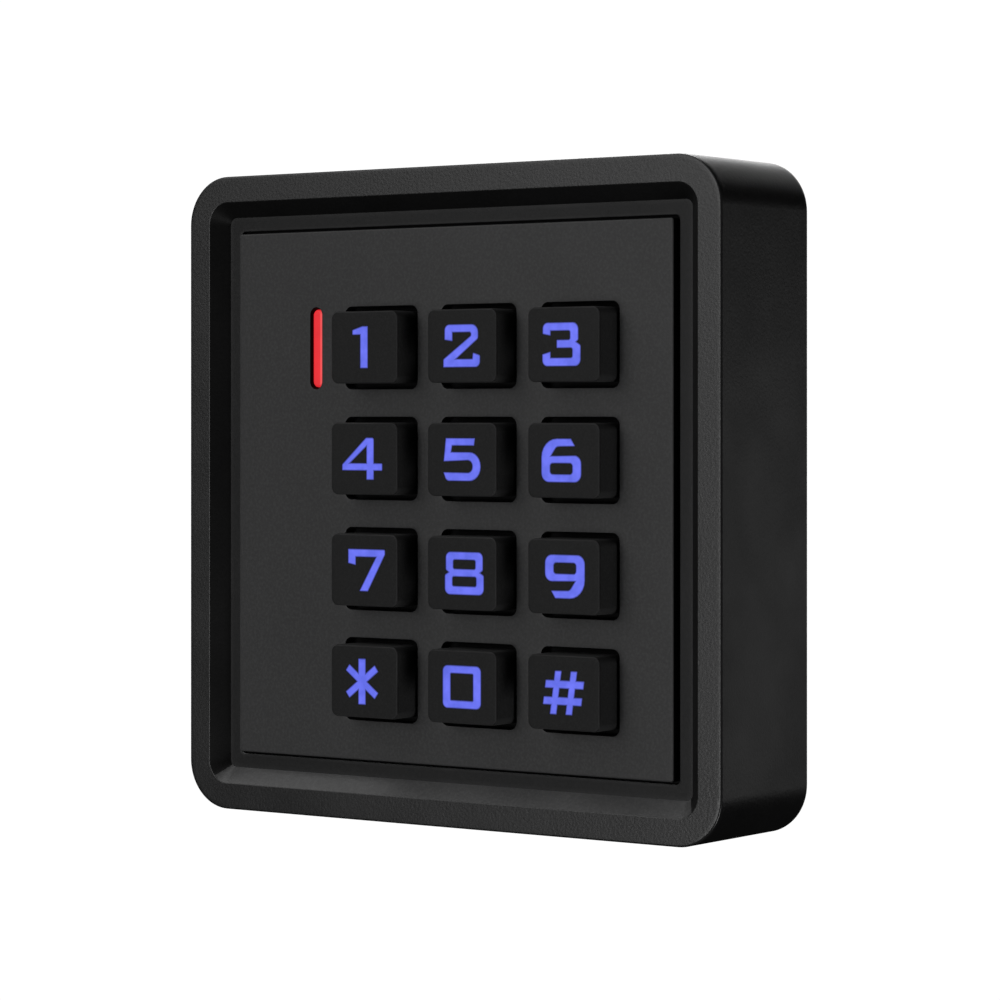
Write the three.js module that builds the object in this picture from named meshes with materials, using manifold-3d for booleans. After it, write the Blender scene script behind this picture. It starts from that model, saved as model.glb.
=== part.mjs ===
// Keypad access reader: a square wall unit with twelve lit push keys and a status light bar.
// Units are millimetres. The wall is the plane Y = 0, the front faces -Y, +X is to the right as
// seen from the front and +Z is up. The origin is the centre of the wall plate's back face.
//
// Every outline is drawn as seen from the front, in X and Z, and runs outward from the wall, so
// a depth below is the distance from the wall.

import * as THREE from 'three';
import { mergeVertices } from 'three/addons/utils/BufferGeometryUtils.js';
import Module from 'manifold-3d';

const wasm = await Module();
wasm.setup();

// ---- driving dimensions ----

const GAP = 0.05; // between pieces that touch
const OVERLAP = 0.2; // how far joined solids run into each other
const PAST = 1; // how far a cutter runs past a face
const SLIVER = 0.001; // keeps a fully round end from closing on itself

// housing
const BODY = { size: 86, corner: 6.5, depth: 20.6, wall: 2.2, edge: 0.5 };
const RIM_OPENING = { size: 79, corner: 3.05, slope: 2.05 };
const LEDGE = { depth: 18.5, opening: 71, corner: 0.6 };
const SEAT = { depth: 17.75, opening: 67, corner: 0.5, under: 16.9 };
const RIB_RING = { opening: 76.8, corner: 1.9, from: 5.9, to: 7.4 };
const BOSS = { at: 35, r: 2.9, pilot: 1.25, from: 5.25, pilotTo: 13 };
const BOARD_RIB = { at: 20, width: 3, reach: 35.2 };

// face plate
const PLATE = { size: 70.3, corner: 0.4, from: 17.8, to: 19.4 };
const PLATE_TAB = { at: 33.2, width: 8, thick: 1, from: 15.6, hook: 1.1, hookTop: 16.6 };

// keys
const COLUMNS = 3;
const ROWS = 4;
const GRID = { x: 5.125, z: -2.47, pitchX: 15.93, pitchZ: 14.63 };
const APERTURE = { w: 11.94, h: 10.82, corner: 1 };
const KEY = { w: 11.06, h: 9.48, corner: 1, inner: 0.4, front: 23.06, skin: 1.06, wall: 1.2 };
const FLANGE = { w: 13.4, h: 12.2, corner: 1.2, from: 16.5, to: 17.7 };
const LEGEND = { pocket: 0.5, recess: 0.02, fit: 0.05, armEnd: 0.12 };

// light bar
const BAR = { x: -21.8, z: 19.5, slotW: 1.9, slotH: 10.8, w: 1.6, h: 10.4, front: 19.1, foot: 13.2 };
const BAR_FLANGE = { w: 3.2, h: 12, corner: 0.5 };

// key mat and contacts
const MAT = { margin: 1.6, corner: 2, from: 11.85, sheet: 12.7, ceiling: 14.5, shoulder: 14.9 };
const SKIRT = { w: 13.2, h: 12, topW: 10.4, topH: 9.2, corner: 1.6, inner: 1, wall: 0.85 };
const MAT_SHOULDER = { w: 9.8, h: 8.6, corner: 0.8 };
const MAT_BLOCK = { w: 8.1, h: 6.5, corner: 0.6, top: 20.6 };
const POST_R = 2.2;
const PILL = { r: 2, from: 13.05, to: 13.5 };

// board and what it carries
const BOARD = { size: 73, chamfer: 8.5, from: 10.2, to: 11.8 };
const LED = { w: 1.6, h: 1.2, top: 12.5, room: 0.4 };
const COIL = { size: 61, corner: 6, band: 3, from: 8.9 };
const BUZZER = { x: 17, z: 14, r: 6, from: 6, port: 1.2, portDepth: 2 };
const CHIP = { x: -12, z: 12, size: 10, from: 9 };
const SOCKET = { z: -14, w: 16, h: 8, from: 5.7, wall: 1, floor: 9.2 };
const PINS = { count: 6, pitch: 2.2, half: 0.35, recess: 0.6 };

// rear parts
const COVER = { size: 80.8, corner: 3.9, from: 3.4, to: 5.2 };
const COVER_WINDOW = { w: 18.6, h: 10.6, corner: 1 };
const COVER_ROOM = { head: 0.2, shank: 0.3, hook: 0.4, hookRun: 2, latch: 0.5 };
const POST = { x: 33.5, z: 20, r: 1.6 };
const GASKET = { size: 80.6, corner: 3.9, opening: 76.8, inner: 1.9, from: 5.25, to: 5.85 };
const COVER_SCREW = { headR: 2.6, shankR: 1.15, cone: 4.7, tip: 12, point: 0.8 };
const CROSS = { half: 1.3, halfWidth: 0.25, depth: 0.6 };
const WALL_PLATE = { size: 80.2, corner: 3.8, to: 2.2 };
const WALL_SLOT = { at: 30.15, w: 8.6, h: 4.6, sinkW: 13, sinkH: 9, sink: 1.2 };
const CABLE = { w: 24, h: 16, corner: 3 };
const HOOK = { x: 22, w: 8, z0: 33, z1: 35, tip: 37, lip: 5.45, top: 6.9 };
const LATCH = { w: 10, z0: -40, z1: -34.5, top: 5.15, axis: 3 };
const LOCK_SCREW = { headR: 2.4, head: 1.1, shankR: 1.2, tip: -36, pilot: 1.3, bore: 1.6, sinkR: 2.6 };
const LOCK_HEX = { r: 0.9, depth: 1.6 };

// ---- solids ----

// The front-view drawing plane (x, y) with depth z becomes (x, -z, y) in the object's frame.
const STAND_UP = new THREE.Matrix4().set(1, 0, 0, 0, 0, 0, -1, 0, 0, 1, 0, 0, 0, 0, 0, 1);

function toSolid(geometry) {
  const bare = geometry.index ? geometry.toNonIndexed() : geometry;
  bare.deleteAttribute('normal');
  bare.deleteAttribute('uv');
  const merged = mergeVertices(bare, 1e-5);
  const mesh = new wasm.Mesh({
    numProp: 3,
    vertProperties: new Float32Array(merged.attributes.position.array),
    triVerts: new Uint32Array(merged.index.array),
  });
  return new wasm.Manifold(mesh);
}

function roundedRect(w, h, r, x = 0, y = 0) {
  const [left, right, low, high] = [x - w / 2, x + w / 2, y - h / 2, y + h / 2];
  return new THREE.Shape()
    .moveTo(left + r, low)
    .lineTo(right - r, low)
    .absarc(right - r, low + r, r, -Math.PI / 2, 0)
    .lineTo(right, high - r)
    .absarc(right - r, high - r, r, 0, Math.PI / 2)
    .lineTo(left + r, high)
    .absarc(left + r, high - r, r, Math.PI / 2, Math.PI)
    .lineTo(left, low + r)
    .absarc(left + r, low + r, r, Math.PI, 1.5 * Math.PI);
}

// A straight prism between two depths. Offset grows (or, below zero, shrinks) the outline.
function prism(shape, from, to, segments = 3, offset = 0) {
  const geometry = new THREE.ExtrudeGeometry(shape, {
    depth: to - from,
    curveSegments: segments,
    bevelEnabled: offset !== 0,
    bevelThickness: 0,
    bevelSize: 0,
    bevelOffset: offset,
    bevelSegments: 0,
  });
  return toSolid(geometry.translate(0, 0, from));
}

function slab(w, h, r, from, to, x = 0, y = 0, segments = 3) {
  return prism(roundedRect(w, h, r, x, y), from, to, segments);
}

// A slab whose edges are bevelled at both ends, inside its stated size and depths.
function bevelledSlab(w, h, r, from, to, inset, rise, steps, segments) {
  const geometry = new THREE.ExtrudeGeometry(roundedRect(w, h, r), {
    depth: to - from - 2 * rise,
    curveSegments: segments,
    bevelThickness: rise,
    bevelSize: inset,
    bevelOffset: -inset,
    bevelSegments: steps,
  });
  return toSolid(geometry.translate(0, 0, from + rise));
}

// A slab that narrows or widens evenly to another size at its far end.
function taperedSlab(w, h, r, from, to, topW, topH, x, y) {
  const geometry = new THREE.ExtrudeGeometry(roundedRect(w, h, r), {
    depth: to - from,
    curveSegments: 1,
    bevelEnabled: false,
  });
  const points = geometry.attributes.position;
  for (let i = 0; i < points.count; i += 1) {
    if (points.getZ(i) > 0) {
      points.setXY(i, (points.getX(i) * topW) / w, (points.getY(i) * topH) / h);
    }
  }
  return toSolid(geometry.translate(x, y, from));
}

function box(x0, x1, y0, y1, from, to) {
  const geometry = new THREE.BoxGeometry(x1 - x0, y1 - y0, to - from);
  return toSolid(geometry.translate((x0 + x1) / 2, (y0 + y1) / 2, (from + to) / 2));
}

// A round part about the depth axis, from its [radius, depth] outline, which starts and ends on
// the axis.
function turned(outline, x, y, sides = 16) {
  const points = outline.map(([r, depth]) => new THREE.Vector2(r, depth));
  const geometry = new THREE.LatheGeometry(points, sides).rotateX(Math.PI / 2);
  return toSolid(geometry.translate(x, y, 0));
}

function cylinder(r, from, to, x, y, sides = 16) {
  return turned([[0, from], [r, from], [r, to], [0, to]], x, y, sides);
}

function cutAll(solid, cutters) {
  return cutters.reduce((left, cutter) => left.subtract(cutter), solid);
}

function joinAll(solids) {
  return solids.reduce((left, right) => left.add(right));
}

// ---- materials ----

function finish(color, roughness, metalness = 0) {
  return new THREE.MeshStandardMaterial({ color, roughness, metalness });
}

const FINISH = {
  housing: () => finish(0x343434, 0.75),
  plate: () => finish(0x363636, 0.7),
  keycap: () => finish(0x242424, 0.6),
  legend: () => finish(0x7a7aff, 0.4),
  redLens: () => finish(0xf23a3e, 0.3),
  rubber: () => finish(0xb9b9b4, 0.85),
  carbon: () => finish(0x161616, 0.9),
  board: () => finish(0x14532d, 0.5),
  led: () => finish(0xf4f1df, 0.35),
  copper: () => finish(0xb87333, 0.35, 0.9),
  plastic: () => finish(0x1c1c1e, 0.6),
  socket: () => finish(0xe9e4d2, 0.55),
  foam: () => finish(0x2a2a2a, 0.95),
  steel: () => finish(0xb8bcc0, 0.35, 1),
};

const reader = new THREE.Group();

function addPart(name, solid, material) {
  const { vertProperties, triVerts, numProp } = solid.getMesh();
  const geometry = new THREE.BufferGeometry();
  const flat = new Float32Array((vertProperties.length / numProp) * 3);
  for (let i = 0; i < flat.length / 3; i += 1) {
    flat.set(vertProperties.subarray(i * numProp, i * numProp + 3), i * 3);
  }
  geometry.setAttribute('position', new THREE.BufferAttribute(flat, 3));
  geometry.setIndex(new THREE.BufferAttribute(new Uint32Array(triVerts), 1));
  geometry.applyMatrix4(STAND_UP);
  geometry.computeVertexNormals();
  const mesh = new THREE.Mesh(geometry, material);
  mesh.name = name;
  reader.add(mesh);
}

// ---- legends ----

// An outline through corners [x, y, radius]; a corner of radius 0 stays sharp.
function roundedOutline(corners) {
  const path = new THREE.Shape();
  corners.forEach(([x, y, r], i) => {
    const [px, py] = corners[(i + corners.length - 1) % corners.length];
    const [nx, ny] = corners[(i + 1) % corners.length];
    const into = new THREE.Vector2(px - x, py - y).normalize();
    const out = new THREE.Vector2(nx - x, ny - y).normalize();
    const cut = r === 0 ? 0 : r / Math.tan(into.angleTo(out) / 2);
    const start = into.clone().multiplyScalar(cut);
    const end = out.clone().multiplyScalar(cut);
    if (i === 0) path.moveTo(x + start.x, y + start.y);
    else path.lineTo(x + start.x, y + start.y);
    if (r > 0) path.quadraticCurveTo(x, y, x + end.x, y + end.y);
  });
  return path;
}

function frame(x0, x1, y0, y1, r) {
  return [[x0, y0, r], [x1, y0, r], [x1, y1, r], [x0, y1, r]];
}

function halfTurn(corners) {
  return corners.map(([x, y, r]) => [-x, -y, r]);
}

const SIX = [
  [2.2, 1.75, 0.1], [1.5, 2.8, 0.15], [-3.1, 2.8, 2.4], [-3.1, -2.8, 1.2],
  [3.1, -2.8, 1.1], [3.1, 0.7, 1.1], [-1.5, 0.6, 0], [-0.7, 1.7, 0.6],
];
const SIX_EYE = frame(-1.66, 1.66, -1.7, -0.4, 0.35);

const STAR = { reach: 3.05, uprightWidth: 1.3, armWidth: 1.1, degrees: 37 };
const HASH = { reachX: 3, reachY: 2.8, barX: 1.2, barY: 1.05, width: 1.1, lean: 0.145 };

// Each glyph: its outer corners, its eyes, and how far it sits from the key's centre.
const GLYPHS = {
  1: {
    outer: [
      [-1.35, 1.6, 0.15], [-1.35, 2.3, 0.2], [0.35, 2.8, 0.1], [1.3, 2.8, 0.12],
      [1.3, -2.8, 0.12], [-0.05, -2.8, 0.12], [-0.05, 1.6, 0],
    ],
    eyes: [],
    shift: -0.65,
  },
  2: {
    outer: [
      [-2.8, 0.75, 0.15], [-2.8, 2.8, 0.8], [2.65, 2.8, 1.1], [2.65, 0.9, 0.5],
      [-0.8, -1.65, 0], [1.65, -1.65, 0], [1.75, -0.85, 0.15], [2.95, -1.2, 0.3],
      [2.95, -2.8, 0.8], [-3, -2.8, 0.1], [-3, -1.7, 0.4], [1.4, 1.3, 0.2],
      [1.4, 1.7, 0.2], [-1.45, 1.7, 0], [-1.45, 0.55, 0.1],
    ],
    eyes: [],
    shift: 0,
  },
  3: {
    outer: [
      [-2.9, 1.3, 0.15], [-2.9, 2.8, 0.8], [2.65, 2.8, 0.9], [2.65, 0.55, 0.3],
      [2.35, 0.3, 0], [3, -0.1, 0.4], [3, -2.8, 0.9], [-2.95, -2.8, 0.8],
      [-2.95, -1.2, 0.15], [-1.6, -0.85, 0.1], [-1.6, -1.65, 0], [1.65, -1.65, 0.2],
      [1.65, -0.5, 0.2], [-0.75, -0.5, 0.15], [-0.75, 0.62, 0.15], [1.3, 0.62, 0.2],
      [1.3, 1.68, 0.2], [-1.6, 1.68, 0], [-1.6, 1.05, 0.1],
    ],
    eyes: [],
    shift: -0.35,
  },
  4: {
    outer: [
      [-3.4, -1.6, 0.15], [-3.4, -0.75, 0.35], [0.6, 2.8, 0.35], [1.95, 2.8, 0.35],
      [1.95, -0.55, 0], [3.35, -0.55, 0.2], [3.35, -1.6, 0.2], [1.95, -1.6, 0],
      [1.95, -2.8, 0.12], [0.65, -2.8, 0.12], [0.65, -1.6, 0],
    ],
    eyes: [[[0.65, 1.55, 0], [0.65, -0.55, 0], [-1.95, -0.55, 0]]],
    shift: -0.3,
  },
  5: {
    outer: [
      [-2.6, 2.8, 0.1], [2.15, 2.8, 0.1], [2, 1.75, 0.1], [-1.5, 1.75, 0],
      [-1.65, 1, 0], [3.05, 1, 1.85], [3.05, -2.8, 1.85], [-2.5, -2.8, 0.7],
      [-3, -1.6, 0.1], [1.65, -1.65, 0.7], [1.65, -0.1, 0.7], [-2.95, -0.3, 0.1],
    ],
    eyes: [],
    shift: 0,
  },
  6: { outer: SIX, eyes: [SIX_EYE], shift: -0.35 },
  7: {
    outer: [
      [-3.1, 0.85, 0.1], [-3.1, 2.8, 0.1], [3.1, 2.8, 0.25], [3.1, 2.1, 0.3],
      [0.25, -2.8, 0.15], [-1.25, -2.8, 0.1], [1.5, 1.7, 0], [-1.75, 1.7, 0],
      [-1.75, 0.6, 0.1],
    ],
    eyes: [],
    shift: 0.4,
  },
  8: {
    outer: [
      [-3, 2.8, 0.8], [3, 2.8, 0.8], [3, 0.4, 0.35], [2.6, 0.12, 0],
      [3.15, -0.2, 0.4], [3.15, -2.8, 0.85], [-3.15, -2.8, 0.85], [-3.15, -0.2, 0.4],
      [-2.6, 0.12, 0], [-3, 0.4, 0.35],
    ],
    eyes: [frame(-1.72, 1.72, 0.6, 1.7, 0.2), frame(-1.85, 1.85, -1.62, -0.47, 0.2)],
    shift: 0.4,
  },
  9: { outer: halfTurn(SIX), eyes: [halfTurn(SIX_EYE)], shift: 0.2 },
  star: { outer: starOutline(STAR), eyes: [], shift: -0.35 },
  0: { outer: frame(-3.1, 3.1, -2.8, 2.8, 0.8), eyes: [frame(-1.75, 1.75, -1.7, 1.7, 0.1)], shift: 0 },
  hash: { outer: hashOutline(HASH), eyes: [hashEye(HASH)], shift: 0 },
};

// Six arms: two upright and four at the given angle to the horizontal.
function starOutline({ reach, uprightWidth, armWidth, degrees }) {
  const tilt = THREE.MathUtils.degToRad(degrees);
  const arms = [tilt, Math.PI / 2, Math.PI - tilt, Math.PI + tilt, 1.5 * Math.PI, -tilt].map((angle) => {
    const upright = Math.abs(Math.cos(angle)) < 1e-6;
    return {
      along: new THREE.Vector2(Math.cos(angle), Math.sin(angle)),
      aside: new THREE.Vector2(-Math.sin(angle), Math.cos(angle)),
      half: (upright ? uprightWidth : armWidth) / 2,
    };
  });
  return arms.flatMap((arm, i) => {
    const next = arms[(i + 1) % arms.length];
    const tip = arm.along.clone().multiplyScalar(reach);
    const right = tip.clone().addScaledVector(arm.aside, -arm.half);
    const left = tip.clone().addScaledVector(arm.aside, arm.half);
    // the notch is where this arm's left edge meets the next arm's right edge
    const turn = arm.along.cross(next.along);
    const span = next.aside.clone().multiplyScalar(-next.half).addScaledVector(arm.aside, -arm.half);
    const notch = arm.aside.clone().multiplyScalar(arm.half);
    notch.addScaledVector(arm.along, span.cross(next.along) / turn);
    return [[right.x, right.y, LEGEND.armEnd], [left.x, left.y, LEGEND.armEnd], [notch.x, notch.y, 0]];
  });
}

// Two leaning uprights crossed by two bars.
function hashOutline({ reachX, reachY, barX, barY, width, lean }) {
  const [x1, x2] = [barX - width / 2, barX + width / 2];
  const [y1, y2] = [barY - width / 2, barY + width / 2];
  const end = LEGEND.armEnd;
  const barEnd = [[reachX, y1, end], [reachX, y2, end]];
  const quarter = [...barEnd, [x2, y2, 0], [x2, reachY, end], [x1, reachY, end], [x1, y2, 0]];
  const mirrored = quarter.map(([x, y, r]) => [-x, y, r]).reverse();
  const upper = [...quarter, ...mirrored];
  const notches = [[-x2, y1, 0], [-x2, -y1, 0]];
  const outline = [...upper, ...notches, ...halfTurn(upper), ...halfTurn(notches)];
  return outline.map(([x, y, r]) => [x + y * lean, y, r]);
}

function hashEye({ barX, barY, width, lean }) {
  const [x, y] = [barX - width / 2, barY - width / 2];
  return frame(-x, x, -y, y, 0).map(([px, py, r]) => [px + py * lean, py, r]);
}

// A glyph as a prism, slimmed all round by the given margin.
function glyphPrism(glyph, x, z, from, to, margin = 0) {
  const outer = prism(roundedOutline(glyph.outer), from, to, 2, -margin);
  const eyes = glyph.eyes.map((eye) => prism(roundedOutline(eye), from - PAST, to + PAST, 2, margin));
  return cutAll(outer, eyes).translate([x + glyph.shift, z, 0]);
}

// ---- front: housing and face plate ----

const SCREW_PLACES = [-1, 1].flatMap((sx) => [-1, 1].map((sz) => [sx * BOSS.at, sz * BOSS.at]));

function frontHousing() {
  const half = BODY.size / 2;
  const inner = BODY.size - 2 * BODY.wall;
  const shell = bevelledSlab(BODY.size, BODY.size, BODY.corner, 0, BODY.depth, BODY.edge, BODY.edge, 2, 4);
  const rise = BODY.depth - LEDGE.depth;
  const flare = (RIM_OPENING.slope * PAST) / rise;
  const mouth = RIM_OPENING.size + 2 * flare;
  const slope = bevelledSlab(
    mouth, mouth, RIM_OPENING.corner + flare,
    LEDGE.depth, BODY.depth + rise + 2 * PAST, RIM_OPENING.slope + flare, rise + PAST, 1, 3,
  );
  const innerCorner = BODY.corner - BODY.wall;
  const hollow = cutAll(shell, [
    slope,
    slab(LEDGE.opening, LEDGE.opening, LEDGE.corner, SEAT.depth, BODY.depth, 0, 0, 2),
    slab(SEAT.opening, SEAT.opening, SEAT.corner, SEAT.under - PAST, BODY.depth, 0, 0, 2),
    slab(inner, inner, innerCorner, RIB_RING.to, SEAT.under),
    slab(RIB_RING.opening, RIB_RING.opening, RIB_RING.corner, RIB_RING.from - PAST, RIB_RING.to + PAST),
    slab(inner, inner, innerCorner, -PAST, RIB_RING.from),
  ]);
  const ribs = [-1, 1].flatMap((side) => [-1, 1].flatMap((end) => {
    const wallReach = half - BODY.wall + OVERLAP;
    const [a0, a1] = [BOARD_RIB.reach * side, wallReach * side].sort((p, q) => p - q);
    const [b0, b1] = [-1, 1].map((edge) => end * BOARD_RIB.at + (edge * BOARD_RIB.width) / 2);
    const [from, to] = [BOARD.to + GAP, SEAT.under + OVERLAP];
    return [box(a0, a1, b0, b1, from, to), box(b0, b1, a0, a1, from, to)];
  }));
  const bosses = SCREW_PLACES.map(([x, z]) => cylinder(BOSS.r, BOSS.from, SEAT.under + OVERLAP, x, z));
  const pilots = SCREW_PLACES.map(
    ([x, z]) => cylinder(BOSS.pilot, BOSS.from - PAST, BOSS.pilotTo, x, z, 10),
  );
  return cutAll(joinAll([hollow, ...ribs, ...bosses]), [
    ...pilots,
    bottomBore(LOCK_SCREW.bore, -half - PAST, -half + BODY.wall + PAST),
    bottomBore(LOCK_SCREW.sinkR, -half - PAST, -half + LOCK_SCREW.head + 2 * GAP),
  ]);
}

// A round cutter or shaft along Z at the lock screw's place, between two heights.
function bottomBore(r, low, high) {
  const geometry = new THREE.CylinderGeometry(r, r, high - low, 16);
  return toSolid(geometry.translate(0, (low + high) / 2, LATCH.axis));
}

function facePlate() {
  const plate = slab(PLATE.size, PLATE.size, PLATE.corner, PLATE.from, PLATE.to, 0, 0, 1);
  const tabs = [0, 1, 2, 3].map((quarter) => {
    const { at, width, thick, from, hook, hookTop } = PLATE_TAB;
    const leg = box(at - thick, at, -width / 2, width / 2, from, PLATE.from + OVERLAP);
    const catchLip = box(at - thick, at + hook, -width / 2, width / 2, from, hookTop);
    return leg.add(catchLip).rotate([0, 0, quarter * 90]);
  });
  const openings = KEYS.map(({ x, z }) => slab(
    APERTURE.w, APERTURE.h, APERTURE.corner, PLATE.from - PAST, PLATE.to + PAST, x, z, 2,
  ));
  const slot = slab(
    BAR.slotW, BAR.slotH, BAR.slotW / 2 - SLIVER, PLATE.from - PAST, PLATE.to + PAST, BAR.x, BAR.z, 3,
  );
  return cutAll(joinAll([plate, ...tabs]), [...openings, slot]);
}

function lightBar() {
  const round = BAR.w / 2 - SLIVER;
  return joinAll([
    slab(BAR.w, BAR.h, round, BAR.foot, BAR.front, BAR.x, BAR.z, 3),
    slab(BAR_FLANGE.w, BAR_FLANGE.h, BAR_FLANGE.corner, FLANGE.from, FLANGE.to, BAR.x, BAR.z, 1),
  ]);
}

// ---- keys ----

const KEY_NAMES = ['1', '2', '3', '4', '5', '6', '7', '8', '9', 'star', '0', 'hash'];
const KEYS = KEY_NAMES.map((name, i) => ({
  name,
  x: GRID.x + ((i % COLUMNS) - (COLUMNS - 1) / 2) * GRID.pitchX,
  z: GRID.z + ((ROWS - 1) / 2 - Math.floor(i / COLUMNS)) * GRID.pitchZ,
}));

function keycap(glyph, x, z) {
  const floor = KEY.front - KEY.skin;
  const body = joinAll([
    slab(KEY.w, KEY.h, KEY.corner, FLANGE.from, KEY.front, x, z, 2),
    slab(FLANGE.w, FLANGE.h, FLANGE.corner, FLANGE.from, FLANGE.to, x, z, 1),
  ]);
  const [insideW, insideH] = [KEY.w - 2 * KEY.wall, KEY.h - 2 * KEY.wall];
  const inside = slab(insideW, insideH, KEY.inner, FLANGE.from - PAST, floor, x, z, 1);
  const pocket = glyphPrism(glyph, x, z, KEY.front - LEGEND.pocket, KEY.front + PAST);
  return cutAll(body, [inside, pocket]);
}

function legendInlay(glyph, x, z) {
  const [floor, fit] = [KEY.front - LEGEND.pocket, LEGEND.fit];
  return glyphPrism(glyph, x, z, floor + fit, KEY.front - LEGEND.recess, fit);
}

function keyMat() {
  const sheetW = (COLUMNS - 1) * GRID.pitchX + SKIRT.w + 2 * MAT.margin;
  const sheetH = (ROWS - 1) * GRID.pitchZ + SKIRT.h + 2 * MAT.margin;
  const sheet = slab(sheetW, sheetH, MAT.corner, MAT.from, MAT.sheet, GRID.x, GRID.z, 2);
  const [windowX, windowZ] = [LED.w / 2 + LED.room, LED.h / 2 + LED.room];
  const windows = BACKLIGHTS.map(([x, z]) => box(
    x - windowX, x + windowX, z - windowZ, z + windowZ, MAT.from - PAST, MAT.sheet + PAST,
  ));
  const domes = KEYS.map(({ x, z }) => {
    const { w, h, topW, topH, corner } = SKIRT;
    const skirt = taperedSlab(w, h, corner, MAT.sheet - OVERLAP, MAT.shoulder, topW, topH, x, z);
    const shoulder = slab(
      MAT_SHOULDER.w, MAT_SHOULDER.h, MAT_SHOULDER.corner, MAT.shoulder - OVERLAP, FLANGE.from - GAP, x, z, 1,
    );
    const block = slab(MAT_BLOCK.w, MAT_BLOCK.h, MAT_BLOCK.corner, MAT.shoulder, MAT_BLOCK.top, x, z, 1);
    return joinAll([skirt, shoulder, block]);
  });
  const posts = KEYS.map(({ x, z }) => cylinder(POST_R, PILL.to + GAP, MAT.ceiling + OVERLAP, x, z, 8));
  return joinAll([cutAll(joinAll([sheet, ...domes]), [...windows, ...KEYS.map(domeHollow)]), ...posts]);
}

// The room under a key's dome.
function domeHollow({ x, z }) {
  const { w, h, topW, topH, wall } = SKIRT;
  const [lowW, lowH, highW, highH] = [w, h, topW, topH].map((size) => size - 2 * wall);
  return taperedSlab(lowW, lowH, SKIRT.inner, MAT.from - PAST, MAT.ceiling, highW, highH, x, z);
}

// ---- board and electronics ----

const BACKLIGHTS = [-0.5, 0.5].flatMap((column) => [-1, 1].map((row) => [
  GRID.x + column * GRID.pitchX,
  GRID.z + row * GRID.pitchZ,
]));

const STATUS_LIGHTS = [-2.6, 2.6].map((offset) => [BAR.x, BAR.z + offset]);

function board() {
  const [half, cut] = [BOARD.size / 2, BOARD.chamfer];
  const corners = [0, 1, 2, 3].flatMap((quarter) => {
    const turn = (quarter * Math.PI) / 2;
    return [[half, -(half - cut)], [half, half - cut]].map(([x, y]) => new THREE.Vector2(x, y)
      .rotateAround(new THREE.Vector2(), turn));
  });
  return prism(new THREE.Shape(corners), BOARD.from, BOARD.to);
}

function led([x, z]) {
  return box(x - LED.w / 2, x + LED.w / 2, z - LED.h / 2, z + LED.h / 2, BOARD.to + GAP, LED.top);
}

function antennaCoil() {
  const inner = COIL.size - 2 * COIL.band;
  return slab(COIL.size, COIL.size, COIL.corner, COIL.from, BOARD.from - GAP)
    .subtract(slab(inner, inner, COIL.corner - COIL.band, COIL.from - PAST, BOARD.from + PAST));
}

function buzzer() {
  const { x, z, r, from, port, portDepth } = BUZZER;
  return cylinder(r, from, BOARD.from - GAP, x, z, 24)
    .subtract(cylinder(port, from - PAST, from + portDepth, x, z, 10));
}

function controllerChip() {
  const { x, z, size, from } = CHIP;
  return box(x - size / 2, x + size / 2, z - size / 2, z + size / 2, from, BOARD.from - GAP);
}

function wireConnector() {
  const { z, w, h, from, wall, floor } = SOCKET;
  const [insideX, insideZ] = [w / 2 - wall, h / 2 - wall];
  const shroud = box(-w / 2, w / 2, z - h / 2, z + h / 2, from, BOARD.from - GAP)
    .subtract(box(-insideX, insideX, z - insideZ, z + insideZ, from - PAST, floor));
  const { count, pitch, half, recess } = PINS;
  const pins = Array.from({ length: count }, (_, i) => {
    const x = (i - (count - 1) / 2) * pitch;
    return box(x - half, x + half, z - half, z + half, from + recess, floor + OVERLAP);
  });
  return joinAll([shroud, ...pins]);
}

// ---- rear parts ----

function backCover() {
  const { size, corner, from, to } = COVER;
  const { head, shank, hook, hookRun, latch } = COVER_ROOM;
  const [sinkR, holeR] = [COVER_SCREW.headR + head, COVER_SCREW.shankR + shank];
  const posts = [-1, 1].flatMap((sx) => [-1, 1].map((sz) => cylinder(
    POST.r, to - OVERLAP, BOARD.from - GAP, sx * POST.x, sz * POST.z, 12,
  )));
  const sinks = SCREW_PLACES.map(([x, z]) => turned([
    [0, from - PAST], [sinkR, from - PAST], [sinkR, from + GAP],
    [holeR, COVER_SCREW.cone + 2 * GAP], [holeR, to + PAST], [0, to + PAST],
  ], x, z));
  const slotX = HOOK.w / 2 + hook;
  const hookSlots = [-1, 1].map((side) => box(
    side * HOOK.x - slotX, side * HOOK.x + slotX, HOOK.z0 - hookRun, HOOK.z1 + hook, from - PAST, to + PAST,
  ));
  const latchX = LATCH.w / 2 + latch;
  return cutAll(joinAll([slab(size, size, corner, from, to), ...posts]), [
    ...sinks,
    ...hookSlots,
    slab(COVER_WINDOW.w, COVER_WINDOW.h, COVER_WINDOW.corner, from - PAST, to + PAST, 0, SOCKET.z, 1),
    box(-latchX, latchX, -size / 2 - PAST, LATCH.z1 + latch, from - PAST, to + PAST),
  ]);
}

function coverGasket() {
  const { size, corner, opening, inner, from, to } = GASKET;
  return slab(size, size, corner, from, to).subtract(slab(opening, opening, inner, from - PAST, to + PAST));
}

function coverScrew([x, z]) {
  const { headR, shankR, cone, tip, point } = COVER_SCREW;
  const top = COVER.from + GAP;
  const body = turned([[0, top], [headR, top], [shankR, cone], [shankR, tip], [0, tip + point]], x, z);
  const { half, halfWidth, depth } = CROSS;
  const cross = [[half, halfWidth], [halfWidth, half]].map(
    ([a, b]) => box(x - a, x + a, z - b, z + b, top - PAST, top + depth),
  );
  return cutAll(body, cross);
}

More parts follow.
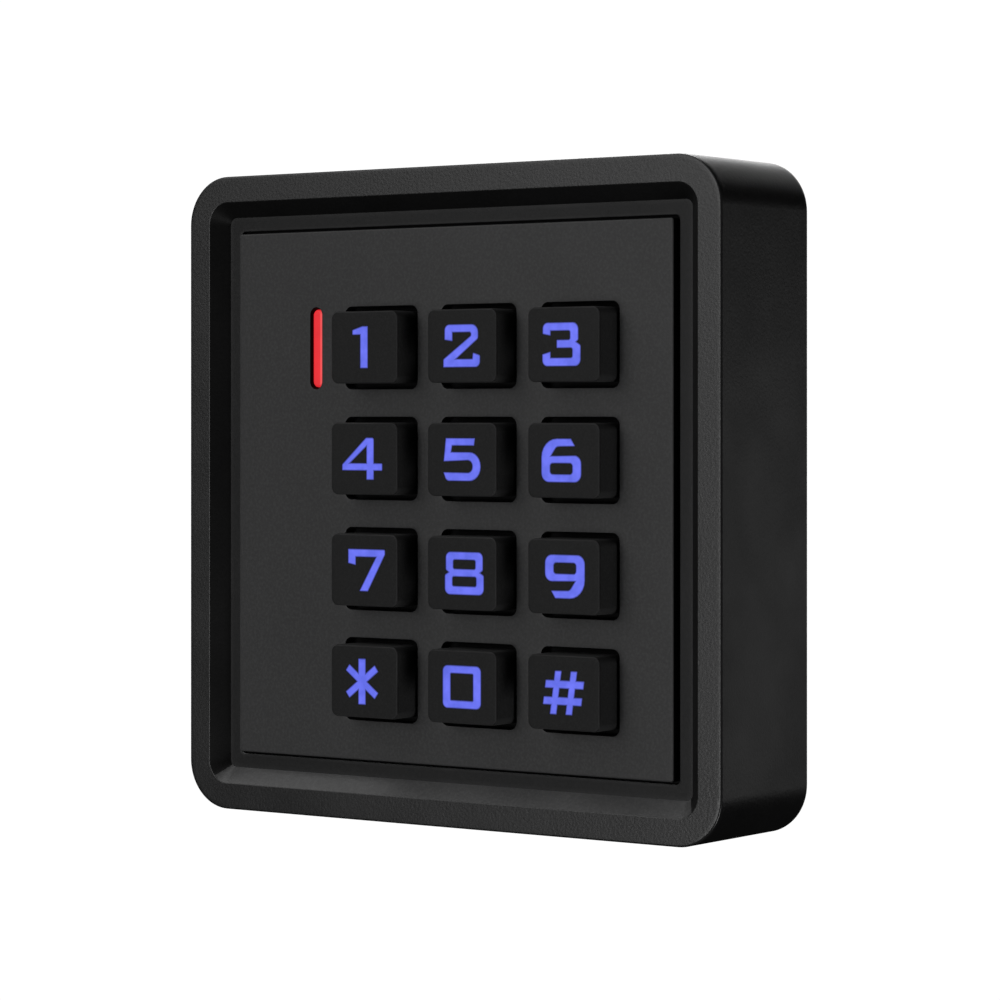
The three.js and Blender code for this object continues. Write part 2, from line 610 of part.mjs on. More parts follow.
function wallPlate() {
  const { size, corner, to } = WALL_PLATE;
  const hooks = [-1, 1].map((side) => {
    const [x0, x1] = [side * HOOK.x - HOOK.w / 2, side * HOOK.x + HOOK.w / 2];
    const leg = box(x0, x1, HOOK.z0, HOOK.z1, to - OVERLAP, HOOK.top);
    return leg.add(box(x0, x1, HOOK.z0, HOOK.tip, HOOK.lip, HOOK.top));
  });
  const latch = box(-LATCH.w / 2, LATCH.w / 2, LATCH.z0, LATCH.z1, 0, LATCH.top);
  const slots = [0, 1, 2, 3].flatMap((quarter) => {
    const { at, w, h, sinkW, sinkH, sink } = WALL_SLOT;
    return [
      slab(h, w, h / 2 - SLIVER, -PAST, to + PAST, at, 0, 2),
      slab(sinkH, sinkW, sinkH / 2 - SLIVER, to - sink, to + PAST, at, 0, 2),
    ].map((cutter) => cutter.rotate([0, 0, quarter * 90]));
  });
  return cutAll(joinAll([slab(size, size, corner, 0, to), ...hooks, latch]), [
    ...slots,
    slab(CABLE.w, CABLE.h, CABLE.corner, -PAST, to + PAST, 0, SOCKET.z),
    bottomBore(LOCK_SCREW.pilot, LATCH.z0 - PAST, LOCK_SCREW.tip + PAST),
  ]);
}

function securityScrew() {
  const top = -BODY.size / 2 + GAP;
  const neck = top + LOCK_SCREW.head;
  const recess = new THREE.CylinderGeometry(LOCK_HEX.r, LOCK_HEX.r, LOCK_HEX.depth, 6);
  return bottomBore(LOCK_SCREW.headR, top, neck)
    .add(bottomBore(LOCK_SCREW.shankR, neck - OVERLAP, LOCK_SCREW.tip))
    .subtract(toSolid(recess.translate(0, top, LATCH.axis)));
}

// ---- assembly ----

addPart('front_housing', frontHousing(), FINISH.housing());
addPart('face_plate', facePlate(), FINISH.plate());
addPart('light_bar', lightBar(), FINISH.redLens());

for (const { name, x, z } of KEYS) {
  addPart(`key_${name}`, keycap(GLYPHS[name], x, z), FINISH.keycap());
  addPart(`legend_${name}`, legendInlay(GLYPHS[name], x, z), FINISH.legend());
  addPart(`contact_pill_${name}`, cylinder(PILL.r, PILL.from, PILL.to, x, z, 10), FINISH.carbon());
}

addPart('key_mat', keyMat(), FINISH.rubber());
addPart('circuit_board', board(), FINISH.board());
STATUS_LIGHTS.forEach((place, i) => addPart(`status_led_${i + 1}`, led(place), FINISH.led()));
BACKLIGHTS.forEach((place, i) => addPart(`backlight_led_${i + 1}`, led(place), FINISH.led()));
addPart('antenna_coil', antennaCoil(), FINISH.copper());
addPart('buzzer', buzzer(), FINISH.plastic());
addPart('controller_chip', controllerChip(), FINISH.plastic());
addPart('wire_connector', wireConnector(), FINISH.socket());
addPart('cover_gasket', coverGasket(), FINISH.foam());
addPart('back_cover', backCover(), FINISH.plastic());
SCREW_PLACES.forEach((place, i) => addPart(`cover_screw_${i + 1}`, coverScrew(place), FINISH.steel()));
addPart('wall_plate', wallPlate(), FINISH.plastic());
addPart('security_screw', securityScrew(), FINISH.steel());

export default reader;
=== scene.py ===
"""Keypad access reader: fine visible pieces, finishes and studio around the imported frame."""

import math

import bmesh
import bpy
from bpy.props import FloatProperty, FloatVectorProperty, PointerProperty
from mathutils import Matrix, Vector


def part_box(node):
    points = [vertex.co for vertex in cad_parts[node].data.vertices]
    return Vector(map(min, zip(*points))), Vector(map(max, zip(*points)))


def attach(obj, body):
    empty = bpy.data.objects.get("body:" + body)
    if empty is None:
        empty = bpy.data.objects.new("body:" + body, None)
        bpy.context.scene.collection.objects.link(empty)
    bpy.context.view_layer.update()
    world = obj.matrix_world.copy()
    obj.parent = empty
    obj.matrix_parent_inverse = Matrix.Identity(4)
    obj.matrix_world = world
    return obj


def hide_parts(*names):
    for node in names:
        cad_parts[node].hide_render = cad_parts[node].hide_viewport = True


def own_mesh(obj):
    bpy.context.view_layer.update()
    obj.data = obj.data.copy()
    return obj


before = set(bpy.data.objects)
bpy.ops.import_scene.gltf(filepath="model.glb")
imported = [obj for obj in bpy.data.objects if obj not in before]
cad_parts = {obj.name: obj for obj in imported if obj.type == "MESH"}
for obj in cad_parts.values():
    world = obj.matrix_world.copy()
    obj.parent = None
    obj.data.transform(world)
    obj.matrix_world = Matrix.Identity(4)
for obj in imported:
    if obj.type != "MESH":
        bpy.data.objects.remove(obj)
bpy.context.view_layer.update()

bl_info = {
    "name": "Keypad Access Reader",
    "version": (1, 0, 0),
    "blender": (4, 5, 0),
    "location": "3D View > Sidebar > Reader",
    "description": "Builds a square wall keypad reader with lit push keys and a status light bar",
    "category": "Object",
}

MM = 0.001
READER_BODY = "reader_body"
KEY_NAMES = ("1", "2", "3", "4", "5", "6", "7", "8", "9", "star", "0", "hash")
FULL_TURN = 2 * math.pi
MERGE = 1e-7
# Edges sharper than this get the wear and the painted edge highlight.
WEAR_AND_SHEEN_ANGLE = math.radians(12)


# ---- sizes and colours ----


def length(name, millimetres, description):
    """A length property, given here in millimetres and stored in metres."""
    return FloatProperty(
        name=name, description=description, default=millimetres * MM, min=0.0, unit="LENGTH", precision=5
    )


def colour(name, rgb, description):
    """A linear colour property."""
    return FloatVectorProperty(
        name=name, description=description, default=rgb, size=3, min=0.0, max=1.0, subtype="COLOR"
    )


class ReaderBodySizes(bpy.types.PropertyGroup):
    """The square box and the panel in its front."""

    corner: length("Corner radius", 6.5, "Radius of the box's four long corners")
    wall: length("Wall", 2.2, "Thickness of the box's side walls")
    edge: length("Edge rounding", 0.28, "Rounding along the rim's inner and outer edges")
    rim: length("Rim width", 3.5, "Width of the flat rim round the front")
    slope: length("Slope width", 2.05, "Width of the bevel from the rim down to the ledge")
    ledge_depth: length("Ledge depth", 2.1, "How far the ledge lies behind the rim")
    ledge_opening: length("Ledge opening", 71.0, "Size of the opening that the face plate sits in")
    seat_opening: length("Seat opening", 67.0, "Size of the opening inside the seat behind the face plate")
    plate_edge: length("Plate edge rounding", 0.22, "Rounding along the face plate's edges")
    plate_corner: length("Plate corner radius", 0.4, "Radius of the face plate's corners")


class ReaderKeySizes(bpy.types.PropertyGroup):
    """The keys, their openings and their legends."""

    width: length("Key width", 11.06, "Width of a key's face")
    height: length("Key height", 9.48, "Height of a key's face")
    corner: length("Key corner radius", 1.0, "Radius of a key's corners")
    edge: length("Key edge rounding", 0.22, "Rounding between a key's face and its sides")
    opening_width: length("Opening width", 11.94, "Width of a key's opening in the face plate")
    opening_height: length("Opening height", 10.82, "Height of a key's opening in the face plate")
    pocket: length("Legend pocket", 0.5, "Depth of the pocket that a legend sits in")
    legend_gap: length("Legend gap", 0.04, "Width of the dark line round a legend")
    lit_margin: length("Legend soft edge", 0.17, "Width of the dimmer border round a lit legend")


class ReaderFinishes(bpy.types.PropertyGroup):
    """Colours and gloss of the reader's surfaces."""

    housing: colour("Housing", (0.0085, 0.0085, 0.0087), "Moulded colour of the box")
    ledge: colour("Ledge", (0.011, 0.011, 0.0112), "Colour of the ledge inside the rim")
    # Painted light: the bevel below the face plate is the same moulding as the other bevels, given a much
    # lighter colour to stand in for the light it catches from above.
    lower_slope_painted_light: colour("Lower slope", (0.055, 0.055, 0.0555), "Colour of the bevel below the face plate")
    plate: colour("Face plate", (0.036, 0.036, 0.0365), "Moulded colour of the face plate")
    key: colour("Keys", (0.0155, 0.0155, 0.0157), "Moulded colour of the keys")
    # Painted shade: this near-black colour stands in for the shadow on the walls round the keys, the keys'
    # feet and the walls inside the box.
    shade: colour("Shaded walls", (0.0022, 0.0022, 0.0024), "Colour of the walls round the keys")
    legend: colour("Legend light", (0.1, 0.128, 0.72), "Colour of the lit legends")
    legend_bright: colour("Legend highlight", (0.15, 0.175, 0.92), "Colour of the legends' brightest parts")
    bar: colour("Bar light", (0.74, 0.022, 0.03), "Colour of the lit status bar")
    bar_bright: colour("Bar highlight", (0.86, 0.1, 0.1), "Colour of the bar's lighter edge")
    grain: length("Texture grain", 0.36, "Size of the moulded texture's grain")


class ReaderStudio(bpy.types.PropertyGroup):
    """The camera and the soft lights."""

    distance: length("Camera distance", 466.12, "Distance of the camera from the rim's centre")
    yaw: FloatProperty(
        name="Camera turn", description="Angle of the camera to the reader's right",
        default=math.radians(35.858), subtype="ANGLE",
    )
    focal: FloatProperty(
        name="Focal length", description="Camera focal length", default=126.2, min=1.0, unit="CAMERA"
    )
    light_distance: length("Light distance", 1200.0, "Distance of the lights from the reader")
    fill: FloatProperty(name="Fill light", description="Faint light all round", default=0.002, min=0.0)
    brightness: FloatProperty(name="Light level", description="Scales every light", default=1.0, min=0.0)


# ---- mesh tools ----


def ring_points(width, height, corner, y, centre, steps):
    """Points round a rectangle with rounded corners, in the plane at y."""
    points = []
    for quarter in range(4):
        side_x = 1 if quarter in (0, 3) else -1
        side_z = 1 if quarter in (0, 1) else -1
        for step in range(steps + 1):
            angle = (quarter + step / steps) * math.pi / 2
            x = centre[0] + side_x * (width / 2 - corner) + corner * math.cos(angle)
            z = centre[1] + side_z * (height / 2 - corner) + corner * math.sin(angle)
            points.append((x, y, z))
    return points


def tube(bm, stations, centre=(0.0, 0.0), steps=10, closed=False):
    """A wall through rings (width, height, corner, y). Returns the first and the last ring's edges."""
    before = set(bm.edges)
    ring = bmesh.ops.create_circle(bm, segments=4 * (steps + 1), radius=1.0)["verts"]
    first = last = [edge for edge in bm.edges if edge not in before]
    for vert, point in zip(ring, ring_points(*stations[0], centre, steps)):
        vert.co = point
    for station in stations[1:] + (stations[:1] if closed else []):
        made = bmesh.ops.extrude_edge_only(bm, edges=last)["geom"]
        new = {g for g in made if isinstance(g, bmesh.types.BMVert)}
        ring = [next(e.other_vert(v) for e in v.link_edges if e.other_vert(v) in new) for v in ring]
        for vert, point in zip(ring, ring_points(*station, centre, steps)):
            vert.co = point
        last = [g for g in made if isinstance(g, bmesh.types.BMEdge) and new.issuperset(g.verts)]
    return first, last


def rounding(width, height, corner, y, radius, towards, outward=1, segments=4):
    """Stations of a rounded edge, from the flat face at y to the side wall.

    Towards is +1 where the wall runs to larger y. Outward is -1 for the edge of an opening.
    """
    stations = []
    for step in range(segments + 1):
        angle = math.pi / 2 * step / segments
        inset = outward * radius * (1 - math.sin(angle))
        depth = radius * (1 - math.cos(angle))
        radius_here = max(corner - inset, 1e-5)
        stations.append((width - 2 * inset, height - 2 * inset, radius_here, y + towards * depth))
    return stations


def square(size, corner, y):
    """The station of a square ring."""
    return (size, size, corner, y)


def grown(station, amount, corner=None):
    """A station moved outward in its own plane (inward where amount is below zero)."""
    width, height, radius, y = station
    new_radius = max(radius + amount, 1e-5) if corner is None else corner
    return (width + 2 * amount, height + 2 * amount, new_radius, y)


def fill(bm, edges):
    """Closes the flat region bounded by nested loops of edges."""
    bmesh.ops.triangle_fill(bm, use_beauty=True, use_dissolve=False, edges=edges)


def outline_points(corners, steps=6):
    """Points of an outline through corners (x, z, radius), its rounded corners as arcs."""
    points = []
    count = len(corners)
    for i, (x, z, radius) in enumerate(corners):
        here = Vector((x, z))
        back = (Vector(corners[i - 1][:2]) - here).normalized()
        ahead = (Vector(corners[(i + 1) % count][:2]) - here).normalized()
        if radius == 0:
            points.append(here)
            continue
        half = back.angle(ahead) / 2
        start = here + back * (radius / math.tan(half))
        centre = here + (back + ahead).normalized() * (radius / math.sin(half))
        sweep = (start - centre).angle_signed(here + ahead * (radius / math.tan(half)) - centre)
        arm = start - centre
        for step in range(steps + 1):
            turn = -sweep * step / steps
            cosine, sine = math.cos(turn), math.sin(turn)
            points.append(centre + Vector((arm.x * cosine - arm.y * sine, arm.x * sine + arm.y * cosine)))
    return points


def loop_of(bm, points):
    """A closed loop of edges through the points."""
    verts = [bm.verts.new(point) for point in points]
    return [bm.edges.new((verts[i - 1], verts[i])) for i in range(len(verts))]


def outline_loop(bm, corners, y, centre, steps=6):
    """A closed loop of edges along an outline, in the plane at y."""
    points = outline_points(corners, steps)
    return loop_of(bm, [(centre[0] + point.x, y, centre[1] + point.y) for point in points])


def push_edges(bm, edges, distance):
    """Extrudes loops of edges along Y and returns the far loops."""
    made = bmesh.ops.extrude_edge_only(bm, edges=edges)["geom"]
    far_verts = [g for g in made if isinstance(g, bmesh.types.BMVert)]
    bmesh.ops.translate(bm, verts=far_verts, vec=(0.0, distance, 0.0))
    far = set(far_verts)
    return [g for g in made if isinstance(g, bmesh.types.BMEdge) and far.issuperset(g.verts)]


def mark_edges(bm, no_wear_or_sheen):
    """Stores 1 on vertices that lie on a rounded or sharp edge, for the edge wear and the painted edge
    highlight in the finishes.

    Vertices that touch a material whose number is in the given list keep 0, with neither wear nor painted
    highlight.
    """
    layer = bm.verts.layers.float.new("edge_wear_and_sheen")
    limit = math.cos(WEAR_AND_SHEEN_ANGLE)
    for vert in bm.verts:
        normals = [face.normal for face in vert.link_faces]
        sharpest = min((a.dot(b) for a in normals for b in normals), default=1.0)
        hidden = any(face.material_index in no_wear_or_sheen for face in vert.link_faces)
        vert[layer] = 1.0 if sharpest < limit and not hidden else 0.0


def place(bm, name, material, replaces, body, smooth_angle=32.0, no_wear_or_sheen=()):
    """Turns a bmesh into a finished piece that rides on a body and stands for a CAD node."""
    bmesh.ops.remove_doubles(bm, verts=bm.verts, dist=MERGE)
    bmesh.ops.recalc_face_normals(bm, faces=bm.faces)
    mark_edges(bm, no_wear_or_sheen)
    mesh = bpy.data.meshes.new(name)
    bm.to_mesh(mesh)
    bm.free()
    mesh.shade_smooth()
    mesh.set_sharp_from_angle(angle=math.radians(smooth_angle))
    for one in material if isinstance(material, (list, tuple)) else [material]:
        mesh.materials.append(one)
    piece = bpy.data.objects.new(name, mesh)
    bpy.context.scene.collection.objects.link(piece)
    weighted = piece.modifiers.new("weighted_normals", "WEIGHTED_NORMAL")
    weighted.keep_sharp = True
    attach(piece, body)
    if replaces:
        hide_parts(*replaces)
    return piece


def in_metres(values):
    """The same tuples, given in millimetres."""
    return [tuple(value * MM for value in one) for one in values]


def box_bm(low, high):
    """A box between two corners."""
    bm = bmesh.new()
    bmesh.ops.create_cube(bm, size=1.0)
    low, high = Vector(low), Vector(high)
    bmesh.ops.scale(bm, verts=bm.verts, vec=high - low)
    bmesh.ops.translate(bm, verts=bm.verts, vec=(low + high) / 2)
    return bm


def prism(points, along):
    """A solid swept straight from a flat outline."""
    bm = bmesh.new()
    face = bm.faces.new([bm.verts.new(point) for point in points])
    made = bmesh.ops.extrude_face_region(bm, geom=[face])["geom"]
    bmesh.ops.translate(bm, verts=[g for g in made if isinstance(g, bmesh.types.BMVert)], vec=along)
    return bm


def turned_bm(outline, centre, axis="Y", steps=32):
    """A round part spun from its (radius, distance) outline about an axis through centre."""
    bm = bmesh.new()
    verts = [bm.verts.new((r, y, 0.0)) for r, y in outline]
    edges = [bm.edges.new(pair) for pair in zip(verts, verts[1:])]
    bmesh.ops.spin(
        bm, geom=verts + edges, cent=(0, 0, 0), axis=(0, 1, 0), angle=FULL_TURN, steps=steps, use_merge=True
    )
    bmesh.ops.remove_doubles(bm, verts=bm.verts, dist=MERGE)
    if axis == "Z":
        bmesh.ops.rotate(bm, verts=bm.verts, cent=(0, 0, 0), matrix=Matrix.Rotation(math.pi / 2, 3, "X"))
    bmesh.ops.translate(bm, verts=bm.verts, vec=centre)
    bmesh.ops.recalc_face_normals(bm, faces=bm.faces)
    return bm


# ---- finishes ----


class Finish:
    """A node material under construction, on the piece's own Object coordinates."""

    def __init__(self, name, roughness, metallic=0.0, specular=0.5):
        self.material = bpy.data.materials.new(name)
        self.material.use_nodes = True
        self.nodes = self.material.node_tree.nodes
        self.links = self.material.node_tree.links
        self.shader = self.nodes["Principled BSDF"]
        uniform = {"Roughness": roughness, "Metallic": metallic, "Specular IOR Level": specular}
        for socket, value in uniform.items():
            self.feed(self.shader.inputs[socket], value)
        self.place = self.node("ShaderNodeTexCoord").outputs["Object"]

    def feed(self, socket, value):
        """Gives a socket a link or a value of its own."""
        if isinstance(value, bpy.types.NodeSocket):
            self.links.new(value, socket)
        else:
            socket.default_value = value

    def node(self, kind, inputs=(), **settings):
        """A new node with its settings, and its inputs by name or number."""
        node = self.nodes.new(kind)
        for name, value in settings.items():
            setattr(node, name, value)
        for socket, value in dict(inputs).items():
            self.feed(node.inputs[socket], value)
        return node

    def axes(self):
        """The X, Y and Z of the piece's coordinates."""
        return self.node("ShaderNodeSeparateXYZ", {0: self.place}).outputs

    def noise(self, size, detail=2.0, stretch=(1.0, 1.0, 1.0)):
        """Noise whose blotches are about the given size across, in metres."""
        mapping = self.node("ShaderNodeMapping", {"Scale": stretch, "Vector": self.place})
        inputs = {"Scale": 1.0 / size, "Detail": detail, "Vector": mapping.outputs["Vector"]}
        return self.node("ShaderNodeTexNoise", inputs).outputs["Fac"]

    def spread(self, source, low, high, from_low=0.3, from_high=0.7):
        """Maps a 0 to 1 pattern onto another range."""
        inputs = {"Value": source, "From Min": from_low, "From Max": from_high, "To Min": low, "To Max": high}
        return self.node("ShaderNodeMapRange", inputs).outputs["Result"]

    def math(self, operation, a, b=0.0):
        """Combines two values, each a socket or a number."""
        return self.node("ShaderNodeMath", {0: a, 1: b}, operation=operation).outputs[0]

    def attribute(self, name):
        """A value stored on the mesh."""
        return self.node("ShaderNodeAttribute", attribute_name=name).outputs["Fac"]

    def mix(self, factor, first, second):
        """A mix of two colours, each a socket or an RGB triple."""
        node = self.node("ShaderNodeMix", {"Factor": factor}, data_type="RGBA")
        colours = [socket for socket in node.inputs if socket.type == "RGBA"]
        for socket, value in zip(colours, (first, second)):
            self.feed(socket, value if isinstance(value, bpy.types.NodeSocket) else (*value, 1.0))
        return next(socket for socket in node.outputs if socket.type == "RGBA")

    def bump(self, height, strength, distance):
        """Raises the surface by a pattern, on top of any earlier bump."""
        inputs = {"Strength": strength, "Distance": distance, "Height": height}
        normal = self.shader.inputs["Normal"]
        if normal.is_linked:
            inputs["Normal"] = normal.links[0].from_socket
        self.links.new(self.node("ShaderNodeBump", inputs).outputs["Normal"], normal)

    def set(self, name, source):
        """Feeds one of the shader's sockets."""
        self.links.new(source, self.shader.inputs[name])


def scaled(rgb, factor):
    """A colour made lighter or darker."""
    return tuple(min(1.0, channel * factor) for channel in rgb)


def moulded_finish(name, rgb, grain, roughness=0.5, texture=0.35, wear_and_sheen=1.6, specular=0.5):
    """Moulded plastic: spark-eroded grain, faint flow marks, and edges made smoother and lighter, partly
    rubbed wear and partly painted highlight.
    """
    finish = Finish(name, roughness, specular=specular)
    flow = finish.spread(finish.noise(0.03, 4.0, (1.0, 1.0, 0.35)), 0.0, 1.0)
    tone = finish.mix(flow, scaled(rgb, 0.9), scaled(rgb, 1.1))
    speck = finish.spread(finish.noise(grain * 1.3, 3.0), 0.0, 1.0, 0.35, 0.65)
    grained = finish.mix(speck, scaled(rgb, 0.7), scaled(rgb, 1.3))
    base = finish.mix(finish.spread(speck, 0.35, 0.65, 0.0, 1.0), tone, grained)
    patchy_wear_and_sheen = finish.spread(finish.noise(0.004, 3.0), 0.35, 1.0)
    # Wear and painted highlight: marked edges are lightened, partly as rubbing and partly standing in for the
    # light that rounded edges catch.
    wear_and_sheen_mask = finish.math("MULTIPLY", finish.attribute("edge_wear_and_sheen"), patchy_wear_and_sheen)
    finish.set("Base Color", finish.mix(wear_and_sheen_mask, base, scaled(rgb, wear_and_sheen)))
    patchy = finish.spread(finish.noise(0.012, 3.0), roughness - 0.035, roughness + 0.035)
    finish.set("Roughness", finish.math("SUBTRACT", patchy, finish.math("MULTIPLY", wear_and_sheen_mask, 0.06)))
    finish.bump(finish.noise(grain, 2.0), texture, grain * 0.12)
    return finish.material


def painted_shade_finish(name, finishes):
    """Painted shade: a near-black colour that stands in for the shadow on walls that lie in shade."""
    return moulded_finish(name, finishes.shade, finishes.grain, roughness=0.7, wear_and_sheen=1.2, specular=0.1)


def lit_finish(name, rgb, bright, edge_level):
    """A translucent lens lit from behind, a little uneven, dimmer where its "lit" attribute is 0."""
    finish = Finish(name, 0.4, specular=0.3)
    uneven = finish.spread(finish.noise(0.0016, 3.0), 0.0, 1.0)
    finish.shader.inputs["Base Color"].default_value = (*scaled(rgb, 0.1), 1.0)
    finish.set("Emission Color", finish.mix(uneven, rgb, bright))
    finish.set("Emission Strength", finish.spread(finish.attribute("lit"), edge_level, 1.0, 0.0, 1.0))
    finish.bump(finish.noise(0.0004, 2.0), 0.15, 0.00002)
    return finish.material


def metal_finish(name, rgb, roughness, brush):
    """Plated steel with fine turning marks and duller blotches."""
    finish = Finish(name, roughness, metallic=1.0)
    blotch = finish.spread(finish.noise(0.002, 3.0), 0.0, 1.0)
    finish.set("Base Color", finish.mix(blotch, scaled(rgb, 0.85), scaled(rgb, 1.05)))
    marks = finish.noise(brush, 2.0, (1.0, 6.0, 6.0))
    finish.set("Roughness", finish.spread(marks, roughness - 0.08, roughness + 0.12))
    finish.bump(marks, 0.2, 0.00002)
    return finish.material


def soft_finish(name, rgb, roughness, size, depth):
    """Silicone, foam or carbon: matte with a fine skin."""
    finish = Finish(name, roughness)
    cloud = finish.spread(finish.noise(size * 6, 3.0), 0.0, 1.0)
    finish.set("Base Color", finish.mix(cloud, scaled(rgb, 0.85), scaled(rgb, 1.1)))
    finish.set("Roughness", finish.spread(finish.noise(size * 3, 2.0), roughness - 0.06, roughness + 0.06))
    finish.bump(finish.noise(size, 2.0), 0.4, depth)
    return finish.material


def board_finish(name, rgb):
    """Solder mask over traces: thin raised lines under a glossy green coat."""
    finish = Finish(name, 0.32)
    turned = finish.node("ShaderNodeMapping", {"Rotation": (math.pi / 2, 0.0, 0.0), "Vector": finish.place})
    black, white = (0.0, 0.0, 0.0, 1.0), (1.0, 1.0, 1.0, 1.0)
    brick = finish.node("ShaderNodeTexBrick", {
        "Vector": turned.outputs["Vector"], "Scale": 180.0, "Mortar Size": 0.035,
        "Color1": black, "Color2": black, "Mortar": white,
    })
    traces = brick.outputs["Color"]
    finish.set("Base Color", finish.mix(traces, rgb, scaled(rgb, 2.2)))
    finish.set("Roughness", finish.spread(finish.noise(0.005, 3.0), 0.26, 0.4))
    finish.bump(traces, 0.3, 0.00003)
    return finish.material


# ---- solids ----


def mesh_of(solid):
    """The solid as a mesh, its faces pointing outwards."""
    mesh = bpy.data.meshes.new("temporary")
    bmesh.ops.recalc_face_normals(solid, faces=solid.faces)
    solid.to_mesh(mesh)
    solid.free()
    return mesh


def cut_and_join(bm, joined=(), cut=()):
    """A solid with other solids added to it and then taken away from it."""
    def temporary(solid):
        one = bpy.data.objects.new("temporary", mesh_of(solid))
        bpy.context.scene.collection.objects.link(one)
        return one

    base = temporary(bm)
    tools = []
    for operation, solids in (("UNION", joined), ("DIFFERENCE", cut)):
        for solid in solids:
            tools.append(temporary(solid))
            modifier = base.modifiers.new(operation.lower(), "BOOLEAN")
            modifier.operation = operation
            modifier.solver = "EXACT"
            modifier.object = tools[-1]
    whole = base.evaluated_get(bpy.context.evaluated_depsgraph_get())
    result = bmesh.new()
    result.from_mesh(whole.to_mesh())
    whole.to_mesh_clear()
    for one in [base, *tools]:
        mesh = one.data
        bpy.data.objects.remove(one)
        bpy.data.meshes.remove(mesh)
    return result


def gather(solids):
    """Several separate solids as one mesh."""
    whole = bmesh.new()
    for solid in solids:
        mesh = mesh_of(solid)
        whole.from_mesh(mesh)
        bpy.data.meshes.remove(mesh)
    return whole


def capped_tube(stations, centre=(0.0, 0.0), steps=8):
    """A solid made of stacked rings, closed at both ends."""
    bm = bmesh.new()
    first, last = tube(bm, stations, centre, steps)
    bmesh.ops.edgeloop_fill(bm, edges=first)
    bmesh.ops.edgeloop_fill(bm, edges=last)
    return bm


def middle(node):
    """The centre of a CAD node's box."""
    low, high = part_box(node)
    return (low + high) / 2


def at_four_sides(build):
    """The solids that build(quarter turn) gives, one for each side of the square."""
    made = []
    for quarter in range(4):
        solid = build()
        turn = Matrix.Rotation(quarter * math.pi / 2, 3, "Y")
        bmesh.ops.rotate(solid, verts=solid.verts, cent=(0, 0, 0), matrix=turn)
        made.append(solid)
    return made


# ---- legends ----


def block(x0, x1, z0, z1, radius):
    """Corners of a rounded rectangle."""
    return [(x0, z0, radius), (x1, z0, radius), (x1, z1, radius), (x0, z1, radius)]


def half_turn(corners):
    """Corners turned upside down."""
    return [(-x, -z, radius) for x, z, radius in corners]


TIP_RADIUS = 0.12


def star_corners(reach, upright_width, arm_width, tilt):
    """Six arms: two upright and four at the given angle to the horizontal."""
    arms = []
    for angle in (tilt, math.pi / 2, math.pi - tilt, math.pi + tilt, 1.5 * math.pi, -tilt):
        width = upright_width if abs(math.cos(angle)) < 1e-6 else arm_width
        along = Vector((math.cos(angle), math.sin(angle)))
        arms.append((along, Vector((-along.y, along.x)), width / 2))
    corners = []
    for i, (along, aside, half) in enumerate(arms):
        next_along, next_aside, next_half = arms[(i + 1) % len(arms)]
        tip = along * reach
        span = -next_aside * next_half - aside * half
        notch = aside * half + along * (span.cross(next_along) / along.cross(next_along))
        right, left = tip - aside * half, tip + aside * half
        corners += [(*right, TIP_RADIUS), (*left, TIP_RADIUS), (*notch, 0)]
    return corners


def hash_corners(reach_x, reach_z, bar_x, bar_z, width, lean):
    """Two leaning uprights crossed by two bars, and the eye between them."""
    x1, x2 = bar_x - width / 2, bar_x + width / 2
    z1, z2 = bar_z - width / 2, bar_z + width / 2
    quarter = [
        (reach_x, z1, TIP_RADIUS), (reach_x, z2, TIP_RADIUS), (x2, z2, 0),
        (x2, reach_z, TIP_RADIUS), (x1, reach_z, TIP_RADIUS), (x1, z2, 0),
    ]
    upper = quarter + [(-x, z, radius) for x, z, radius in reversed(quarter)]
    outline = [*upper, (-x2, z1, 0), (-x2, -z1, 0), *half_turn(upper), (x2, -z1, 0), (x2, z1, 0)]
    leaned = [(x + z * lean, z, radius) for x, z, radius in outline]
    eye = [(x + z * lean, z, radius) for x, z, radius in block(-x1, x1, -z1, z1, 0)]
    return leaned, eye


SIX = [
    (2.2, 1.75, 0.1), (1.5, 2.8, 0.15), (-3.1, 2.8, 2.4), (-3.1, -2.8, 1.2),
    (3.1, -2.8, 1.1), (3.1, 0.7, 1.1), (-1.5, 0.6, 0), (-0.7, 1.7, 0.6),
]
SIX_EYE = block(-1.66, 1.66, -1.7, -0.4, 0.35)
HASH, HASH_EYE = hash_corners(3, 2.8, 1.2, 1.05, 1.1, 0.145)

